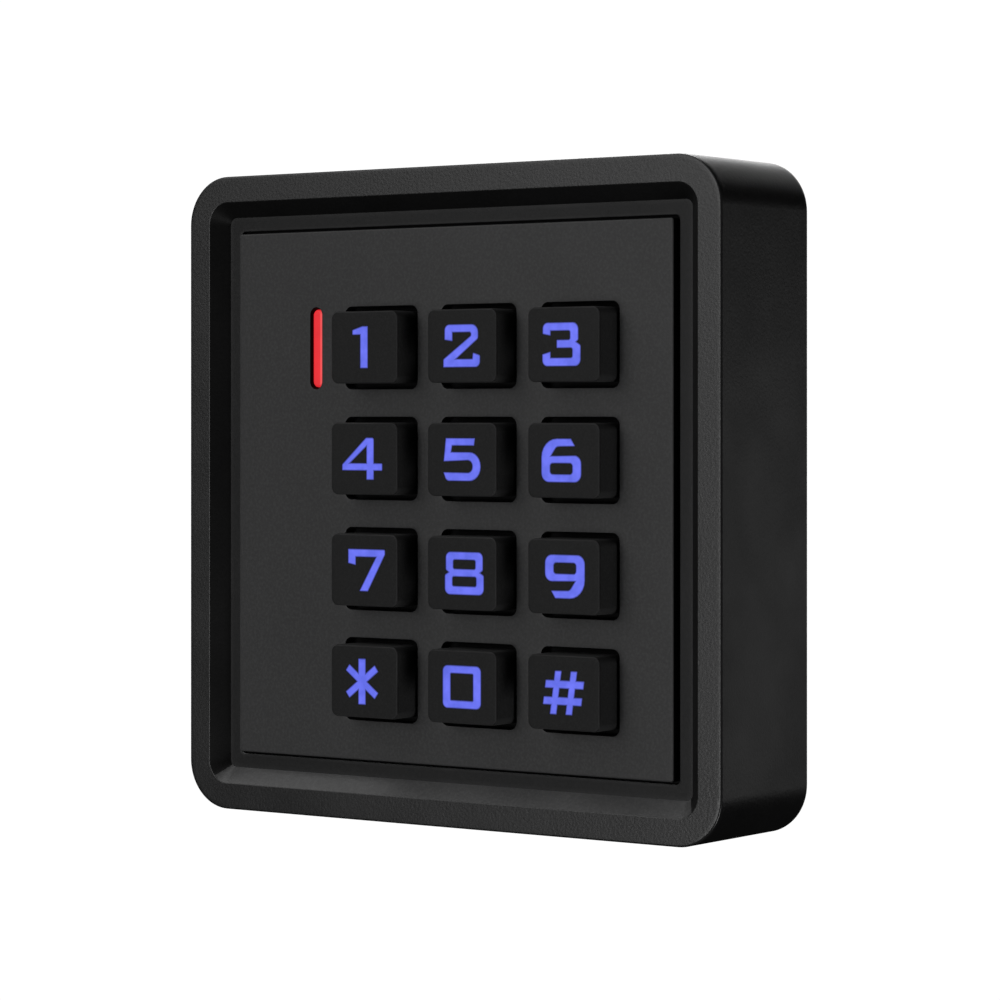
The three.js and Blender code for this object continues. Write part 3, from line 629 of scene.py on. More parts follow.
# Each legend: its outer corners (x, z, radius) in millimetres, its eyes, and its place on the key.
LEGENDS = {
    "1": ([
        (-1.35, 1.6, 0.15), (-1.35, 2.3, 0.2), (0.35, 2.8, 0.1), (1.3, 2.8, 0.12), (1.3, -2.8, 0.12),
        (-0.05, -2.8, 0.12), (-0.05, 1.6, 0),
    ], [], -0.65),
    "2": ([
        (-2.8, 0.75, 0.15), (-2.8, 2.8, 0.8), (2.65, 2.8, 1.1), (2.65, 0.9, 0.5), (-0.8, -1.65, 0),
        (1.65, -1.65, 0), (1.75, -0.85, 0.15), (2.95, -1.2, 0.3), (2.95, -2.8, 0.8), (-3, -2.8, 0.1),
        (-3, -1.7, 0.4), (1.4, 1.3, 0.2), (1.4, 1.7, 0.2), (-1.45, 1.7, 0), (-1.45, 0.55, 0.1),
    ], [], 0.0),
    "3": ([
        (-2.9, 1.3, 0.15), (-2.9, 2.8, 0.8), (2.65, 2.8, 0.9), (2.65, 0.55, 0.3), (2.35, 0.3, 0),
        (3, -0.1, 0.4), (3, -2.8, 0.9), (-2.95, -2.8, 0.8), (-2.95, -1.2, 0.15), (-1.6, -0.85, 0.1),
        (-1.6, -1.65, 0), (1.65, -1.65, 0.2), (1.65, -0.5, 0.2), (-0.75, -0.5, 0.15), (-0.75, 0.62, 0.15),
        (1.3, 0.62, 0.2), (1.3, 1.68, 0.2), (-1.6, 1.68, 0), (-1.6, 1.05, 0.1),
    ], [], -0.35),
    "4": ([
        (-3.4, -1.6, 0.15), (-3.4, -0.75, 0.35), (0.6, 2.8, 0.35), (1.95, 2.8, 0.35), (1.95, -0.55, 0),
        (3.35, -0.55, 0.2), (3.35, -1.6, 0.2), (1.95, -1.6, 0), (1.95, -2.8, 0.12), (0.65, -2.8, 0.12),
        (0.65, -1.6, 0),
    ], [[(0.65, 1.55, 0), (0.65, -0.55, 0), (-1.95, -0.55, 0)]], -0.3),
    "5": ([
        (-2.6, 2.8, 0.1), (2.15, 2.8, 0.1), (2, 1.75, 0.1), (-1.5, 1.75, 0), (-1.65, 1, 0),
        (3.05, 1, 1.85), (3.05, -2.8, 1.85), (-2.5, -2.8, 0.7), (-3, -1.6, 0.1), (1.65, -1.65, 0.7),
        (1.65, -0.1, 0.7), (-2.95, -0.3, 0.1),
    ], [], 0.0),
    "6": (SIX, [SIX_EYE], -0.35),
    "7": ([
        (-3.1, 0.85, 0.1), (-3.1, 2.8, 0.1), (3.1, 2.8, 0.25), (3.1, 2.1, 0.3), (0.25, -2.8, 0.15),
        (-1.25, -2.8, 0.1), (1.5, 1.7, 0), (-1.75, 1.7, 0), (-1.75, 0.6, 0.1),
    ], [], 0.4),
    "8": ([
        (-3, 2.8, 0.8), (3, 2.8, 0.8), (3, 0.4, 0.35), (2.6, 0.12, 0), (3.15, -0.2, 0.4),
        (3.15, -2.8, 0.85), (-3.15, -2.8, 0.85), (-3.15, -0.2, 0.4), (-2.6, 0.12, 0), (-3, 0.4, 0.35),
    ], [block(-1.72, 1.72, 0.6, 1.7, 0.2), block(-1.85, 1.85, -1.62, -0.47, 0.2)], 0.4),
    "9": (half_turn(SIX), [half_turn(SIX_EYE)], 0.2),
    "star": (star_corners(3.05, 1.3, 1.1, math.radians(37)), [], -0.35),
    "0": (block(-3.1, 3.1, -2.8, 2.8, 0.8), [block(-1.75, 1.75, -1.7, 1.7, 0.1)], 0.0),
    "hash": (HASH, [HASH_EYE], 0.0),
}


def inset_corners(corners, distance):
    """An outline drawn in by a distance, or out where it is below zero, with its arcs kept parallel."""
    points = [Vector(corner[:2]) for corner in corners]
    ahead = [(points[(i + 1) % len(points)] - point).normalized() for i, point in enumerate(points)]
    side = math.copysign(1, sum(point.cross(points[i - 1]) for i, point in enumerate(points))) * -1
    moved = []
    for i, (point, (_, _, radius)) in enumerate(zip(points, corners)):
        back_normal = Vector((-ahead[i - 1].y, ahead[i - 1].x)) * side
        next_normal = Vector((-ahead[i].y, ahead[i].x)) * side
        miter = (back_normal + next_normal) / (1 + back_normal.dot(next_normal))
        bend = math.copysign(1, ahead[i - 1].cross(ahead[i]) * side)
        x, z = point + miter * distance
        moved.append((x, z, max(radius - bend * distance, 0) if radius else 0))
    return moved


def legend_loops(bm, name, y, inset=0.0):
    """The loops of edges round a key's legend and its eyes, at y, the legend slimmed by the inset."""
    outer, eyes, shift = LEGENDS[name]
    centre = middle(f"key_{name}")
    outlines = [inset_corners(outer, inset / MM)] + [inset_corners(eye, -inset / MM) for eye in eyes]
    place_at = (centre.x + shift * MM, centre.z)
    loops = [outline_loop(bm, in_metres(outline), y, place_at) for outline in outlines]
    return [edge for loop in loops for edge in loop]


# ---- pieces ----


class ReaderPiece(bpy.types.Operator):
    """Shared by the operators that add a piece of the reader."""

    bl_options = {"REGISTER", "UNDO"}

    def execute(self, context):
        self.build(context.scene)
        return {"FINISHED"}


class READER_OT_stage(ReaderPiece):
    """Add the camera, the soft lights and the pale floor"""

    bl_idname = "reader.stage"
    bl_label = "Add Stage"

    def build(self, scene):
        add_camera(scene)
        add_lights(scene)
        add_backdrop(scene)


SENSOR_WIDTH, CAMERA_SHIFT, CAMERA_AIM = 36.0, -0.0838, (0.0, -7.55 * MM, 10.42 * MM)
WHITE_LEVEL, FLOOR_SIZE, FLOOR_LEVEL, SURROUND_RADIUS = 1.05, 2.5, -0.35, 4.0


def add_camera(scene):
    """A level camera at the reader's right, framed a little low."""
    studio = scene.reader_studio
    data = bpy.data.cameras.new("camera")
    data.lens = studio.focal
    data.sensor_width = SENSOR_WIDTH
    data.shift_y = CAMERA_SHIFT
    camera = bpy.data.objects.new("camera", data)
    heading = Vector((math.sin(studio.yaw), -math.cos(studio.yaw), 0.0))
    camera.location = Vector(CAMERA_AIM) + studio.distance * heading
    camera.rotation_euler = (math.pi / 2, 0.0, studio.yaw)
    scene.collection.objects.link(camera)
    scene.camera = camera


def soft_light(scene, name, direction, distance, size, power):
    """A rectangular soft light that faces the reader and isn't seen itself."""
    data = bpy.data.lights.new(name, "AREA")
    data.shape = "RECTANGLE"
    data.size, data.size_y = size
    data.energy = power
    light = bpy.data.objects.new(name, data)
    heading = Vector(direction).normalized()
    light.location = heading * distance
    light.rotation_mode = "QUATERNION"
    light.rotation_quaternion = heading.to_track_quat("Z", "Y")
    light.visible_camera = False
    scene.collection.objects.link(light)


SMALL_LIGHT = (0.42, 0.42)

# Each light: the direction it stands in, its size in metres and its power in watts.
STUDIO_LIGHTS = {
    "front_low_light": ((-0.17, -0.97, -0.17), SMALL_LIGHT, 2.9),
    "front_light": ((-0.17, -0.95, 0.26), SMALL_LIGHT, 1.7),
    "front_left_light": ((-0.48, -0.84, 0.26), SMALL_LIGHT, 1.1),
    "upper_left_light": ((-0.5, -0.42, 0.76), (1.2, 1.2), 5.5),
    "lower_left_light": ((-0.34, -0.92, -0.2), SMALL_LIGHT, 0.5),
    "side_light": ((0.75, -0.2, -0.63), SMALL_LIGHT, 3.4),
    "side_back_light": ((0.64, 0.76, -0.07), (0.6, 0.34), 0.32),
    "back_top_light": ((-0.3, 0.5, 0.8), SMALL_LIGHT, 8.0),
    "back_light": ((-0.3, 0.93, 0.15), (0.8, 0.8), 5.0),
}


def add_lights(scene):
    """The soft lights, and the world and view that they are balanced for."""
    studio = scene.reader_studio
    for name, (direction, size, power) in STUDIO_LIGHTS.items():
        soft_light(scene, name, direction, studio.light_distance, size, power * studio.brightness)
    world = scene.world or bpy.data.worlds.new("studio")
    scene.world = world
    world.use_nodes = True
    background = world.node_tree.nodes["Background"]
    background.inputs["Color"].default_value = (1.0, 1.0, 1.0, 1.0)
    background.inputs["Strength"].default_value = studio.fill
    scene.view_settings.view_transform = "Standard"


def add_backdrop(scene):
    """A white surround and floor that only the camera sees."""
    white = bpy.data.materials.new("studio_white")
    white.use_nodes = True
    shader = white.node_tree.nodes["Principled BSDF"]
    shader.inputs["Base Color"].default_value = (0.0, 0.0, 0.0, 1.0)
    shader.inputs["Specular IOR Level"].default_value = 0.0
    shader.inputs["Emission Color"].default_value = (1.0, 1.0, 1.0, 1.0)
    shader.inputs["Emission Strength"].default_value = WHITE_LEVEL
    floor = bmesh.new()
    bmesh.ops.create_grid(floor, x_segments=1, y_segments=1, size=FLOOR_SIZE)
    bmesh.ops.translate(floor, verts=floor.verts, vec=(0.0, 0.0, FLOOR_LEVEL))
    dome = bmesh.new()
    bmesh.ops.create_icosphere(dome, subdivisions=4, radius=SURROUND_RADIUS)
    bmesh.ops.reverse_faces(dome, faces=dome.faces)
    for name, bm in (("studio_floor", floor), ("studio_surround", dome)):
        mesh = bpy.data.meshes.new(name)
        bm.to_mesh(mesh)
        bm.free()
        mesh.materials.append(white)
        backdrop = bpy.data.objects.new(name, mesh)
        for ray in ("diffuse", "glossy", "transmission", "volume_scatter", "shadow"):
            setattr(backdrop, f"visible_{ray}", False)
        scene.collection.objects.link(backdrop)


class READER_OT_housing(ReaderPiece):
    """Add the square box with its rim, ledge, ribs and screw bosses"""

    bl_idname = "reader.housing"
    bl_label = "Add Housing"

    def build(self, scene):
        sizes, finishes = scene.reader_body, scene.reader_finishes
        shell = housing_shell(sizes)
        lock = middle("security_screw")
        whole = cut_and_join(
            shell,
            joined=[gather(housing_ribs(sizes) + housing_bosses())],
            cut=[gather(boss_pilots()), lock_bore(lock)],
        )
        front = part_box("front_housing")[0].y
        for face in whole.faces:
            face.material_index = housing_area(face, front, sizes)
        place(whole, "housing", housing_finishes(finishes), ["front_housing"], READER_BODY)


OUTSIDE, LEDGE, INSIDE, SLOPE, LOWER_SLOPE = range(5)
NEAR, RIM_REACH = 0.1 * MM, 40 * MM


def housing_area(face, front, sizes):
    """Which of the housing's finishes a face takes."""
    x, y, z = face.calc_center_median()
    depth = y - front
    reach = max(abs(x), abs(z))
    if depth > sizes.ledge_depth + 2 * NEAR:
        return INSIDE if reach < sizes.ledge_opening / 2 + NEAR else OUTSIDE
    if depth > sizes.ledge_depth - NEAR and face.normal.y < -0.9:
        return LEDGE
    if depth > NEAR and reach < RIM_REACH:
        return LOWER_SLOPE if face.normal.z > 0.5 else SLOPE
    return OUTSIDE


def housing_finishes(finishes):
    """The housing's finishes, in the order of the areas."""
    grain = finishes.grain
    # Painted shade: the bevels from rim to ledge are the same moulding as the housing, given half its colour
    # to stand in for their shade.
    slope = scaled(finishes.housing, 0.5)
    return [
        moulded_finish("housing_plastic", finishes.housing, grain, 0.36, texture=0.5, wear_and_sheen=2.2),
        moulded_finish("ledge_plastic", finishes.ledge, grain, 0.5, wear_and_sheen=2.0, specular=0.2),
        # Painted shade for the walls inside the box.
        painted_shade_finish("inner_painted_shade", finishes),
        moulded_finish("slope_painted_shade", slope, grain, 0.42, wear_and_sheen=2.0, specular=0.45),
        # Painted light: a lighter copy of the bevel plastic for the bevel below the face plate.
        moulded_finish("lower_slope_lit_copy", finishes.lower_slope_painted_light, grain, 0.42, wear_and_sheen=1.3, specular=0.6),
    ]


SEAT_BACK, RIB_RING_FRONT, RIB_RING_BACK = -16.9 * MM, -7.4 * MM, -5.9 * MM
RIB_RING, SEAT_FRONT = (76.8 * MM, 1.9 * MM), -17.75 * MM


def housing_shell(sizes):
    """The box's closed wall, from its back edge round the front and back inside."""
    low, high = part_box("front_housing")
    size, front, back = high.x - low.x, low.y, high.y
    edge, corner = sizes.edge, sizes.corner
    mouth, mouth_corner = size - 2 * sizes.rim, corner - sizes.rim + 0.05 * MM
    ledge_y = front + sizes.ledge_depth
    foot, foot_corner = mouth - 2 * sizes.slope, mouth_corner - sizes.slope
    inner, inner_corner = size - 2 * sizes.wall, corner - sizes.wall
    guard = 0.6 * MM
    outer_front = rounding(size, size, corner, front, edge, 1)
    outer_back = rounding(size, size, corner, back, edge, -1)
    rim_outer = outer_front[0]
    lip = slope_lip(mouth, mouth_corner, front, edge * 0.7, sizes)
    ledge = sizes.ledge_opening
    ledge_lip = rounding(ledge, ledge, 0.6 * MM, ledge_y, 0.15 * MM, 1, outward=-1, segments=3)
    stations = [
        grown(outer_back[0], -guard), *outer_back,
        grown_along(outer_back[-1], -guard), grown_along(outer_front[-1], guard),
        *reversed(outer_front), grown(rim_outer, -guard * 0.7), *lip,
        square(foot + 0.16 * MM, foot_corner + 0.08 * MM, ledge_y - 0.08 * MM),
        square(foot, foot_corner, ledge_y),
        grown(square(foot, foot_corner, ledge_y), -guard, foot_corner * 0.7),
        grown(ledge_lip[0], 0.3 * MM), *ledge_lip,
        square(ledge, 0.6 * MM, SEAT_FRONT),
        square(sizes.seat_opening, 0.5 * MM, SEAT_FRONT), square(sizes.seat_opening, 0.5 * MM, SEAT_BACK),
        square(inner, inner_corner, SEAT_BACK), square(inner, inner_corner, RIB_RING_FRONT),
        square(*RIB_RING, RIB_RING_FRONT), square(*RIB_RING, RIB_RING_BACK),
        square(inner, inner_corner, RIB_RING_BACK), square(inner, inner_corner, back - 0.2 * MM),
        square(inner + 0.4 * MM, inner_corner + 0.2 * MM, back),
    ]
    bm = bmesh.new()
    tube(bm, stations, steps=18, closed=True)
    return bm


def grown_along(station, distance):
    """The same ring further along the depth."""
    width, height, corner, y = station
    return (width, height, corner, y + distance)


def slope_lip(mouth, corner, front, radius, sizes):
    """Stations that round the rim's inner edge over onto the slope."""
    tilt = math.atan2(sizes.ledge_depth, sizes.slope)
    reach = radius * math.tan(tilt / 2)
    stations = []
    for step in range(5):
        angle = tilt * step / 4
        inset = -reach + radius * math.sin(angle)
        drop = radius * (1 - math.cos(angle))
        stations.append((mouth - 2 * inset, mouth - 2 * inset, corner - inset, front + drop))
    return stations


RIB_REACH, RIB_PLACE, RIB_HALF, INTO_WALL = 35.2 * MM, 20 * MM, 1.5 * MM, 0.2 * MM


def housing_ribs(sizes):
    """The eight ribs that stand on the walls and hold the board's edges."""
    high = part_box("front_housing")[1]
    board_low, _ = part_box("circuit_board")
    outside = high.x - sizes.wall + INTO_WALL
    ribs = []
    for side in (-1, 1):
        for end in (-1, 1):
            for upright in (False, True):
                along = sorted((side * RIB_REACH, side * outside))
                across = (end * RIB_PLACE - RIB_HALF, end * RIB_PLACE + RIB_HALF)
                x, z = (across, along) if upright else (along, across)
                y = (SEAT_BACK - INTO_WALL, board_low.y - 0.05 * MM)
                ribs.append(box_bm((x[0], y[0], z[0]), (x[1], y[1], z[1])))
    return ribs


def screw_places():
    """Where the four cover screws stand."""
    return [middle(f"cover_screw_{i}") for i in (1, 2, 3, 4)]


BOSS_RADIUS, BOSS_BACK = 2.9 * MM, -5.25 * MM
PILOT_OUTLINE = in_metres([(0, -13), (1.25, -13), (1.25, -4), (0, -4)])
LOCK_OUTLINE = in_metres(
    [(0, -1), (2.95, -1), (2.95, 0), (2.6, 0.35), (2.6, 1.2), (1.6, 1.2), (1.6, 4), (0, 4)]
)


def housing_bosses():
    """The posts behind the corners that the cover screws bite into."""
    front, back = SEAT_BACK - INTO_WALL, BOSS_BACK
    outline = [(0, front), (BOSS_RADIUS, front), (BOSS_RADIUS, back - 0.3 * MM), (2.6 * MM, back), (0, back)]
    return [turned_bm(outline, (at.x, 0, at.z)) for at in screw_places()]


def boss_pilots():
    """The pilot holes in the bosses."""
    return [turned_bm(PILOT_OUTLINE, (at.x, 0, at.z), steps=24) for at in screw_places()]


def lock_bore(lock):
    """The stepped hole in the bottom wall for the security screw."""
    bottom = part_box("front_housing")[0].z
    return turned_bm(LOCK_OUTLINE, (lock.x, lock.y, bottom), axis="Z", steps=40)


PLATE_SIZE, PLATE_BACK, BAR_SLOT, LEVEL = 70.3 * MM, -17.8 * MM, (1.9 * MM, 10.8 * MM, 0.945 * MM), 1e-5
TAB_PROFILE = (
    (32.2, 18.0), (32.2, 15.6), (33.4, 15.6), (34.3, 16.2), (34.3, 16.6), (33.2, 16.6), (33.2, 18.0),
)
TAB_HALF = 4


class READER_OT_face_plate(ReaderPiece):
    """Add the panel with the openings for the keys and the light bar"""

    bl_idname = "reader.face_plate"
    bl_label = "Add Face Plate"

    def build(self, scene):
        body, keys, finishes = scene.reader_body, scene.reader_keys, scene.reader_finishes
        front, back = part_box("face_plate")[0].y, PLATE_BACK
        size, edge, guard = PLATE_SIZE, body.plate_edge, 0.5 * MM
        bar = middle("light_bar")
        openings = [
            (keys.opening_width, keys.opening_height, 1.0 * MM, middle(f"key_{name}")) for name in KEY_NAMES
        ] + [(*BAR_SLOT, bar)]
        bm = bmesh.new()
        outer = rounding(size, size, body.plate_corner, front, edge, 1)
        rings = [grown(outer[0], -guard, 0.05 * MM), *outer, (size, size, body.plate_corner, back)]
        fronts, backs = tube(bm, rings)
        for width, height, corner, at in openings:
            lip = rounding(width, height, corner, front, edge * 0.75, 1, outward=-1)
            stations = [grown(lip[0], guard), *lip, (width, height, corner, back)]
            near, far = tube(bm, stations, centre=(at.x, at.z))
            fronts += near
            backs += far
        fill(bm, fronts)
        fill(bm, backs)
        whole = cut_and_join(bm, joined=[gather(at_four_sides(plate_tab))])
        whole.normal_update()
        for face in whole.faces:
            at = face.calc_center_median()
            inside = abs(at.x) < size / 2 - MM and abs(at.z) < size / 2 - MM
            # Painted shade: the openings' walls and the plate's sides and back take the near-black colour
            # that stands in for their shadow.
            if at.y > front + edge * 0.5 or (at.y > front + LEVEL and inside):
                face.material_index = 1
        grain = finishes.grain * 0.8
        panel = moulded_finish("face_plate_plastic", finishes.plate, grain, 0.5, texture=0.25, specular=0.25)
        shaded = painted_shade_finish("plate_wall_painted_shade", finishes)
        place(whole, "face_panel", [panel, shaded], ["face_plate"], READER_BODY)


def plate_tab():
    """A snap tab behind the face plate, on its right side."""
    points = in_metres([(x, -depth, -TAB_HALF) for x, depth in TAB_PROFILE])
    return prism(points, (0, 0, 2 * TAB_HALF * MM))


class READER_OT_keys(ReaderPiece):
    """Add the twelve keycaps"""

    bl_idname = "reader.keys"
    bl_label = "Add Keycaps"

    def build(self, scene):
        sizes, finishes = scene.reader_keys, scene.reader_finishes
        grain = finishes.grain * 0.5
        satin = moulded_finish("keycap_plastic", finishes.key, grain, 0.5, 0.12, wear_and_sheen=1.9, specular=0.1)
        # Painted light: the pocket's walls and floor glow faintly in the legend's colour, standing in for the
        # legend's light falling on them.
        glow = lit_finish("pocket_painted_glow", finishes.legend, finishes.legend_bright, 0.03)
        # Painted light: the key's sides take a copy of the key colour 2.3 times lighter, standing in for the
        # light they catch.
        painted_light_side_colour = scaled(finishes.key, 2.3)
        side = moulded_finish("key_side_painted_light", painted_light_side_colour, grain, 0.55, wear_and_sheen=1.2, specular=0.2)
        shaded = painted_shade_finish("key_foot_painted_shade", finishes)
        for name in KEY_NAMES:
            bm = keycap(name, sizes)
            place(
                bm, f"keycap_{name}", [satin, glow, side, shaded], [f"key_{name}"],
                f"key_{name}_body", no_wear_or_sheen=(KEY_POCKET, KEY_FOOT),
            )


KEY_FLANGE_FRONT, KEY_SKIN, KEY_WALL = -17.7 * MM, 1.06 * MM, 1.2 * MM
KEY_POCKET, KEY_SIDE, KEY_FOOT = 1, 2, 3


def keycap(name, sizes):
    """A hollow key with a flange at its foot and its legend's pocket in its face."""
    low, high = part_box(f"key_{name}")
    centre = ((low.x + high.x) / 2, (low.z + high.z) / 2)
    front, back = low.y, high.y
    width, height, corner = sizes.width, sizes.height, sizes.corner
    flange = (high.x - low.x, high.z - low.z, 1.2 * MM)
    lip = rounding(width, height, corner, front, sizes.edge, 1, segments=5)
    inside = (width - 2 * KEY_WALL, height - 2 * KEY_WALL, 0.4 * MM)
    bm = bmesh.new()
    face_edge, roof_edge = tube(
        bm,
        [
            grown(lip[0], -0.35 * MM), *lip,
            (width, height, corner, KEY_FLANGE_FRONT),
            (*flange, KEY_FLANGE_FRONT), (*flange, back),
            (*inside, back), (*inside, front + KEY_SKIN),
        ],
        centre=centre,
    )
    bmesh.ops.edgeloop_fill(bm, edges=roof_edge)
    outline = legend_loops(bm, name, front)
    fill(bm, face_edge + outline)
    bm.normal_update()
    floor_edges = push_edges(bm, outline, sizes.pocket)
    fill(bm, floor_edges)
    # The pocket's walls and floor take the painted glow.
    for vert in {v for edge in floor_edges for v in edge.verts}:
        for face in vert.link_faces:
            face.material_index = KEY_POCKET
    for face in bm.faces:
        y = face.calc_center_median().y
        # The key's flange and foot take the near-black painted shade.
        if y > KEY_FLANGE_FRONT - 0.1 * MM:
            face.material_index = KEY_FOOT
        # The sides take the lighter painted-light copy of the key colour.
        elif y > front + sizes.edge and face.material_index != KEY_POCKET:
            face.material_index = KEY_SIDE
    return bm


class READER_OT_legends(ReaderPiece):
    """Add the lit legends in the keys"""

    bl_idname = "reader.legends"
    bl_label = "Add Legends"

    def build(self, scene):
        sizes, finishes = scene.reader_keys, scene.reader_finishes
        lens = lit_finish("legend_light", finishes.legend, finishes.legend_bright, 0.2)
        for name in KEY_NAMES:
            bm = legend_inlay(name, sizes)
            place(bm, f"legend_inlay_{name}", lens, [f"legend_{name}"], f"key_{name}_body")


def legend_inlay(name, sizes):
    """A legend that fills its pocket but for a fine gap, with its border marked as less lit."""
    low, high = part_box(f"legend_{name}")
    bm = bmesh.new()
    lit = bm.verts.layers.float.new("lit")
    border = legend_loops(bm, name, low.y, sizes.legend_gap)
    heart = legend_loops(bm, name, low.y, sizes.legend_gap + sizes.lit_margin)
    for vert in {v for edge in heart for v in edge.verts}:
        vert[lit] = 1.0
    fill(bm, border + heart)
    fill(bm, heart)
    bmesh.ops.recalc_face_normals(bm, faces=bm.faces)
    backs = push_edges(bm, border, high.y - low.y)
    fill(bm, backs)
    return bm


BAR_BODY, BAR_FLANGE_BACK, BAR_FADE = (1.6 * MM, 10.4 * MM, 0.79 * MM), -16.5 * MM, 0.3 * MM


class READER_OT_light_bar(ReaderPiece):
    """Add the red status light bar"""

    bl_idname = "reader.light_bar"
    bl_label = "Add Light Bar"

    def build(self, scene):
        low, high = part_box("light_bar")
        at = middle("light_bar")
        lip = rounding(*BAR_BODY, low.y, 0.3 * MM, 1)
        body, flange = BAR_BODY, (high.x - low.x, high.z - low.z, 0.5 * MM)
        bm = capped_tube(
            [
                *lip, (*body, KEY_FLANGE_FRONT), (*flange, KEY_FLANGE_FRONT),
                (*flange, BAR_FLANGE_BACK), (*body, BAR_FLANGE_BACK), (*body, high.y),
            ],
            centre=(at.x, at.z),
        )
        finishes = scene.reader_finishes
        material = bar_finish(finishes.bar, finishes.bar_bright, at.x)
        place(bm, "light_bar_lens", material, ["light_bar"], READER_BODY)


def bar_finish(rgb, bright, x):
    """Red lens lit from behind, brighter along its right edge."""
    finish = Finish("light_bar_glow", 0.35, specular=0.3)
    finish.shader.inputs["Base Color"].default_value = (*scaled(rgb, 0.15), 1.0)
    axes = finish.axes()
    edge = finish.spread(axes["X"], 0.0, 1.0, x + 0.35 * MM, x + 0.7 * MM)
    finish.set("Emission Color", finish.mix(edge, rgb, bright))
    front = finish.spread(axes["Y"], 1.0, 0.0, KEY_FLANGE_FRONT - BAR_FADE, KEY_FLANGE_FRONT)
    glow = finish.spread(finish.noise(0.003, 2.0), 0.9, 1.04)
    finish.set("Emission Strength", finish.math("MULTIPLY", glow, front))
    finish.bump(finish.noise(0.0004, 2.0), 0.15, 0.00002)
    return finish.material


WALL_PLATE, WALL_PLATE_FRONT = (80.2 * MM, 80.2 * MM, 3.8 * MM), -2.2 * MM
CABLE_OPENING = (24 * MM, 16 * MM, 3 * MM)
SLOT, SLOT_CORNER, SLOT_REACH = (4.6 * MM, 8.6 * MM), 2.295 * MM, 30.15 * MM
SLOT_SINK, SINK_CORNER, SINK_BACK = (9 * MM, 13 * MM), 4.495 * MM, -1.0 * MM
LATCH_BORE = in_metres([(0, -2), (1.3, -2), (1.3, 6), (0, 6)])
HOOK_PROFILE = (
    (33, -2.0), (35, -2.0), (35, -5.45), (36.7, -5.45), (37, -5.75), (37, -6.9), (33.6, -6.9), (33, -6.3),
)
HOOK_PLACE, HOOK_HALF = 22, 4


class READER_OT_wall_plate(ReaderPiece):
    """Add the wall plate with its screw slots, cable opening, hooks and latch"""

    bl_idname = "reader.wall_plate"
    bl_label = "Add Wall Plate"

    def build(self, scene):
        front, edge = WALL_PLATE_FRONT, 0.3 * MM
        outer = rounding(*WALL_PLATE, 0.0, edge, -1)
        bm = bmesh.new()
        backs, fronts = tube(bm, [grown(outer[0], -0.8 * MM), *outer, (*WALL_PLATE, front)], steps=14)
        cable = middle("wire_connector")
        lip = rounding(*CABLE_OPENING, 0.0, edge, -1, outward=-1)
        stations = [grown(lip[0], 0.6 * MM), *lip, (*CABLE_OPENING, front)]
        loops = [tube(bm, stations, centre=(cable.x, cable.z), steps=12)]
        for quarter in range(4):
            reach = SLOT_REACH * (1 if quarter < 2 else -1)
            if quarter % 2 == 0:
                at, slot, sink = (reach, 0.0), SLOT, SLOT_SINK
            else:
                at, slot, sink = (0.0, reach), SLOT[::-1], SLOT_SINK[::-1]
            lip = rounding(*slot, SLOT_CORNER, 0.0, edge, -1, outward=-1)
            stations = [
                grown(lip[0], 0.5 * MM), *lip, (*slot, SLOT_CORNER, SINK_BACK),
                (*sink, SINK_CORNER, SINK_BACK), (*sink, SINK_CORNER, front),
            ]
            loops.append(tube(bm, stations, centre=at, steps=10))
        for near, far in loops:
            backs += near
            fronts += far
        fill(bm, backs)
        fill(bm, fronts)
        bore = turned_bm(LATCH_BORE, (0, middle("security_screw").y, -41 * MM), axis="Z")
        whole = cut_and_join(bm, joined=[gather(wall_hooks()), latch_block()], cut=[bore])
        material = moulded_finish("wall_plate_plastic", (0.03, 0.03, 0.031), 0.35 * MM, roughness=0.55)
        place(whole, "wall_bracket", material, ["wall_plate"], READER_BODY)


def wall_hooks():
    """The two hooks at the top that the back cover hangs on."""
    return [
        prism(
            in_metres([(side * HOOK_PLACE - HOOK_HALF, y, z) for z, y in HOOK_PROFILE]),
            (2 * HOOK_HALF * MM, 0, 0),
        )
        for side in (-1, 1)
    ]


def latch_block():
    """The block at the bottom that the security screw enters."""
    return box_bm((-5 * MM, -5.15 * MM, -40 * MM), (5 * MM, -0.4 * MM, -34.5 * MM))


SCREW_HEAD = in_metres([(0, 0), (1.9, 0), (2.2, 0.08), (2.4, 0.3), (2.4, 1.1), (1.2, 1.1)])
THREAD_START, THREAD_PITCH, THREAD_ROOM = 1.3 * MM, 0.5 * MM, 1.6 * MM
THREAD_RADIUS, THREAD_ROOT = 1.2 * MM, 0.95 * MM


class READER_OT_security_screw(ReaderPiece):
    """Add the screw that locks the reader to its wall plate"""

    bl_idname = "reader.security_screw"
    bl_label = "Add Security Screw"

    def build(self, scene):
        low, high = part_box("security_screw")
        at = middle("security_screw")
        end = high.z - low.z
        thread = []
        for i in range(int((end - THREAD_ROOM) / THREAD_PITCH)):
            start = THREAD_START + i * THREAD_PITCH
            thread += [(THREAD_RADIUS, start), (THREAD_ROOT, start + THREAD_PITCH / 2)]
        outline = SCREW_HEAD + thread + [(0.7 * MM, end), (0, end)]
        shaft = turned_bm(outline, (at.x, at.y, low.z), axis="Z", steps=36)
        recess = bmesh.new()
        bmesh.ops.create_cone(
            recess, cap_ends=True, segments=6, radius1=0.95 * MM, radius2=0.9 * MM, depth=2.0 * MM
        )
        bmesh.ops.translate(recess, verts=recess.verts, vec=(at.x, at.y, low.z - 0.2 * MM))
        whole = cut_and_join(shaft, cut=[recess])
        material = metal_finish("zinc_steel", (0.5, 0.51, 0.52), 0.32, 0.0004)
        place(whole, "lock_screw", material, ["security_screw"], READER_BODY)


SOCKET_FLOOR, PIN_COUNT = -9.2 * MM, 6
PIN_TIP, PIN = (0.3 * MM, 0.3 * MM, 0.05 * MM), (0.7 * MM, 0.7 * MM, 0.06 * MM)


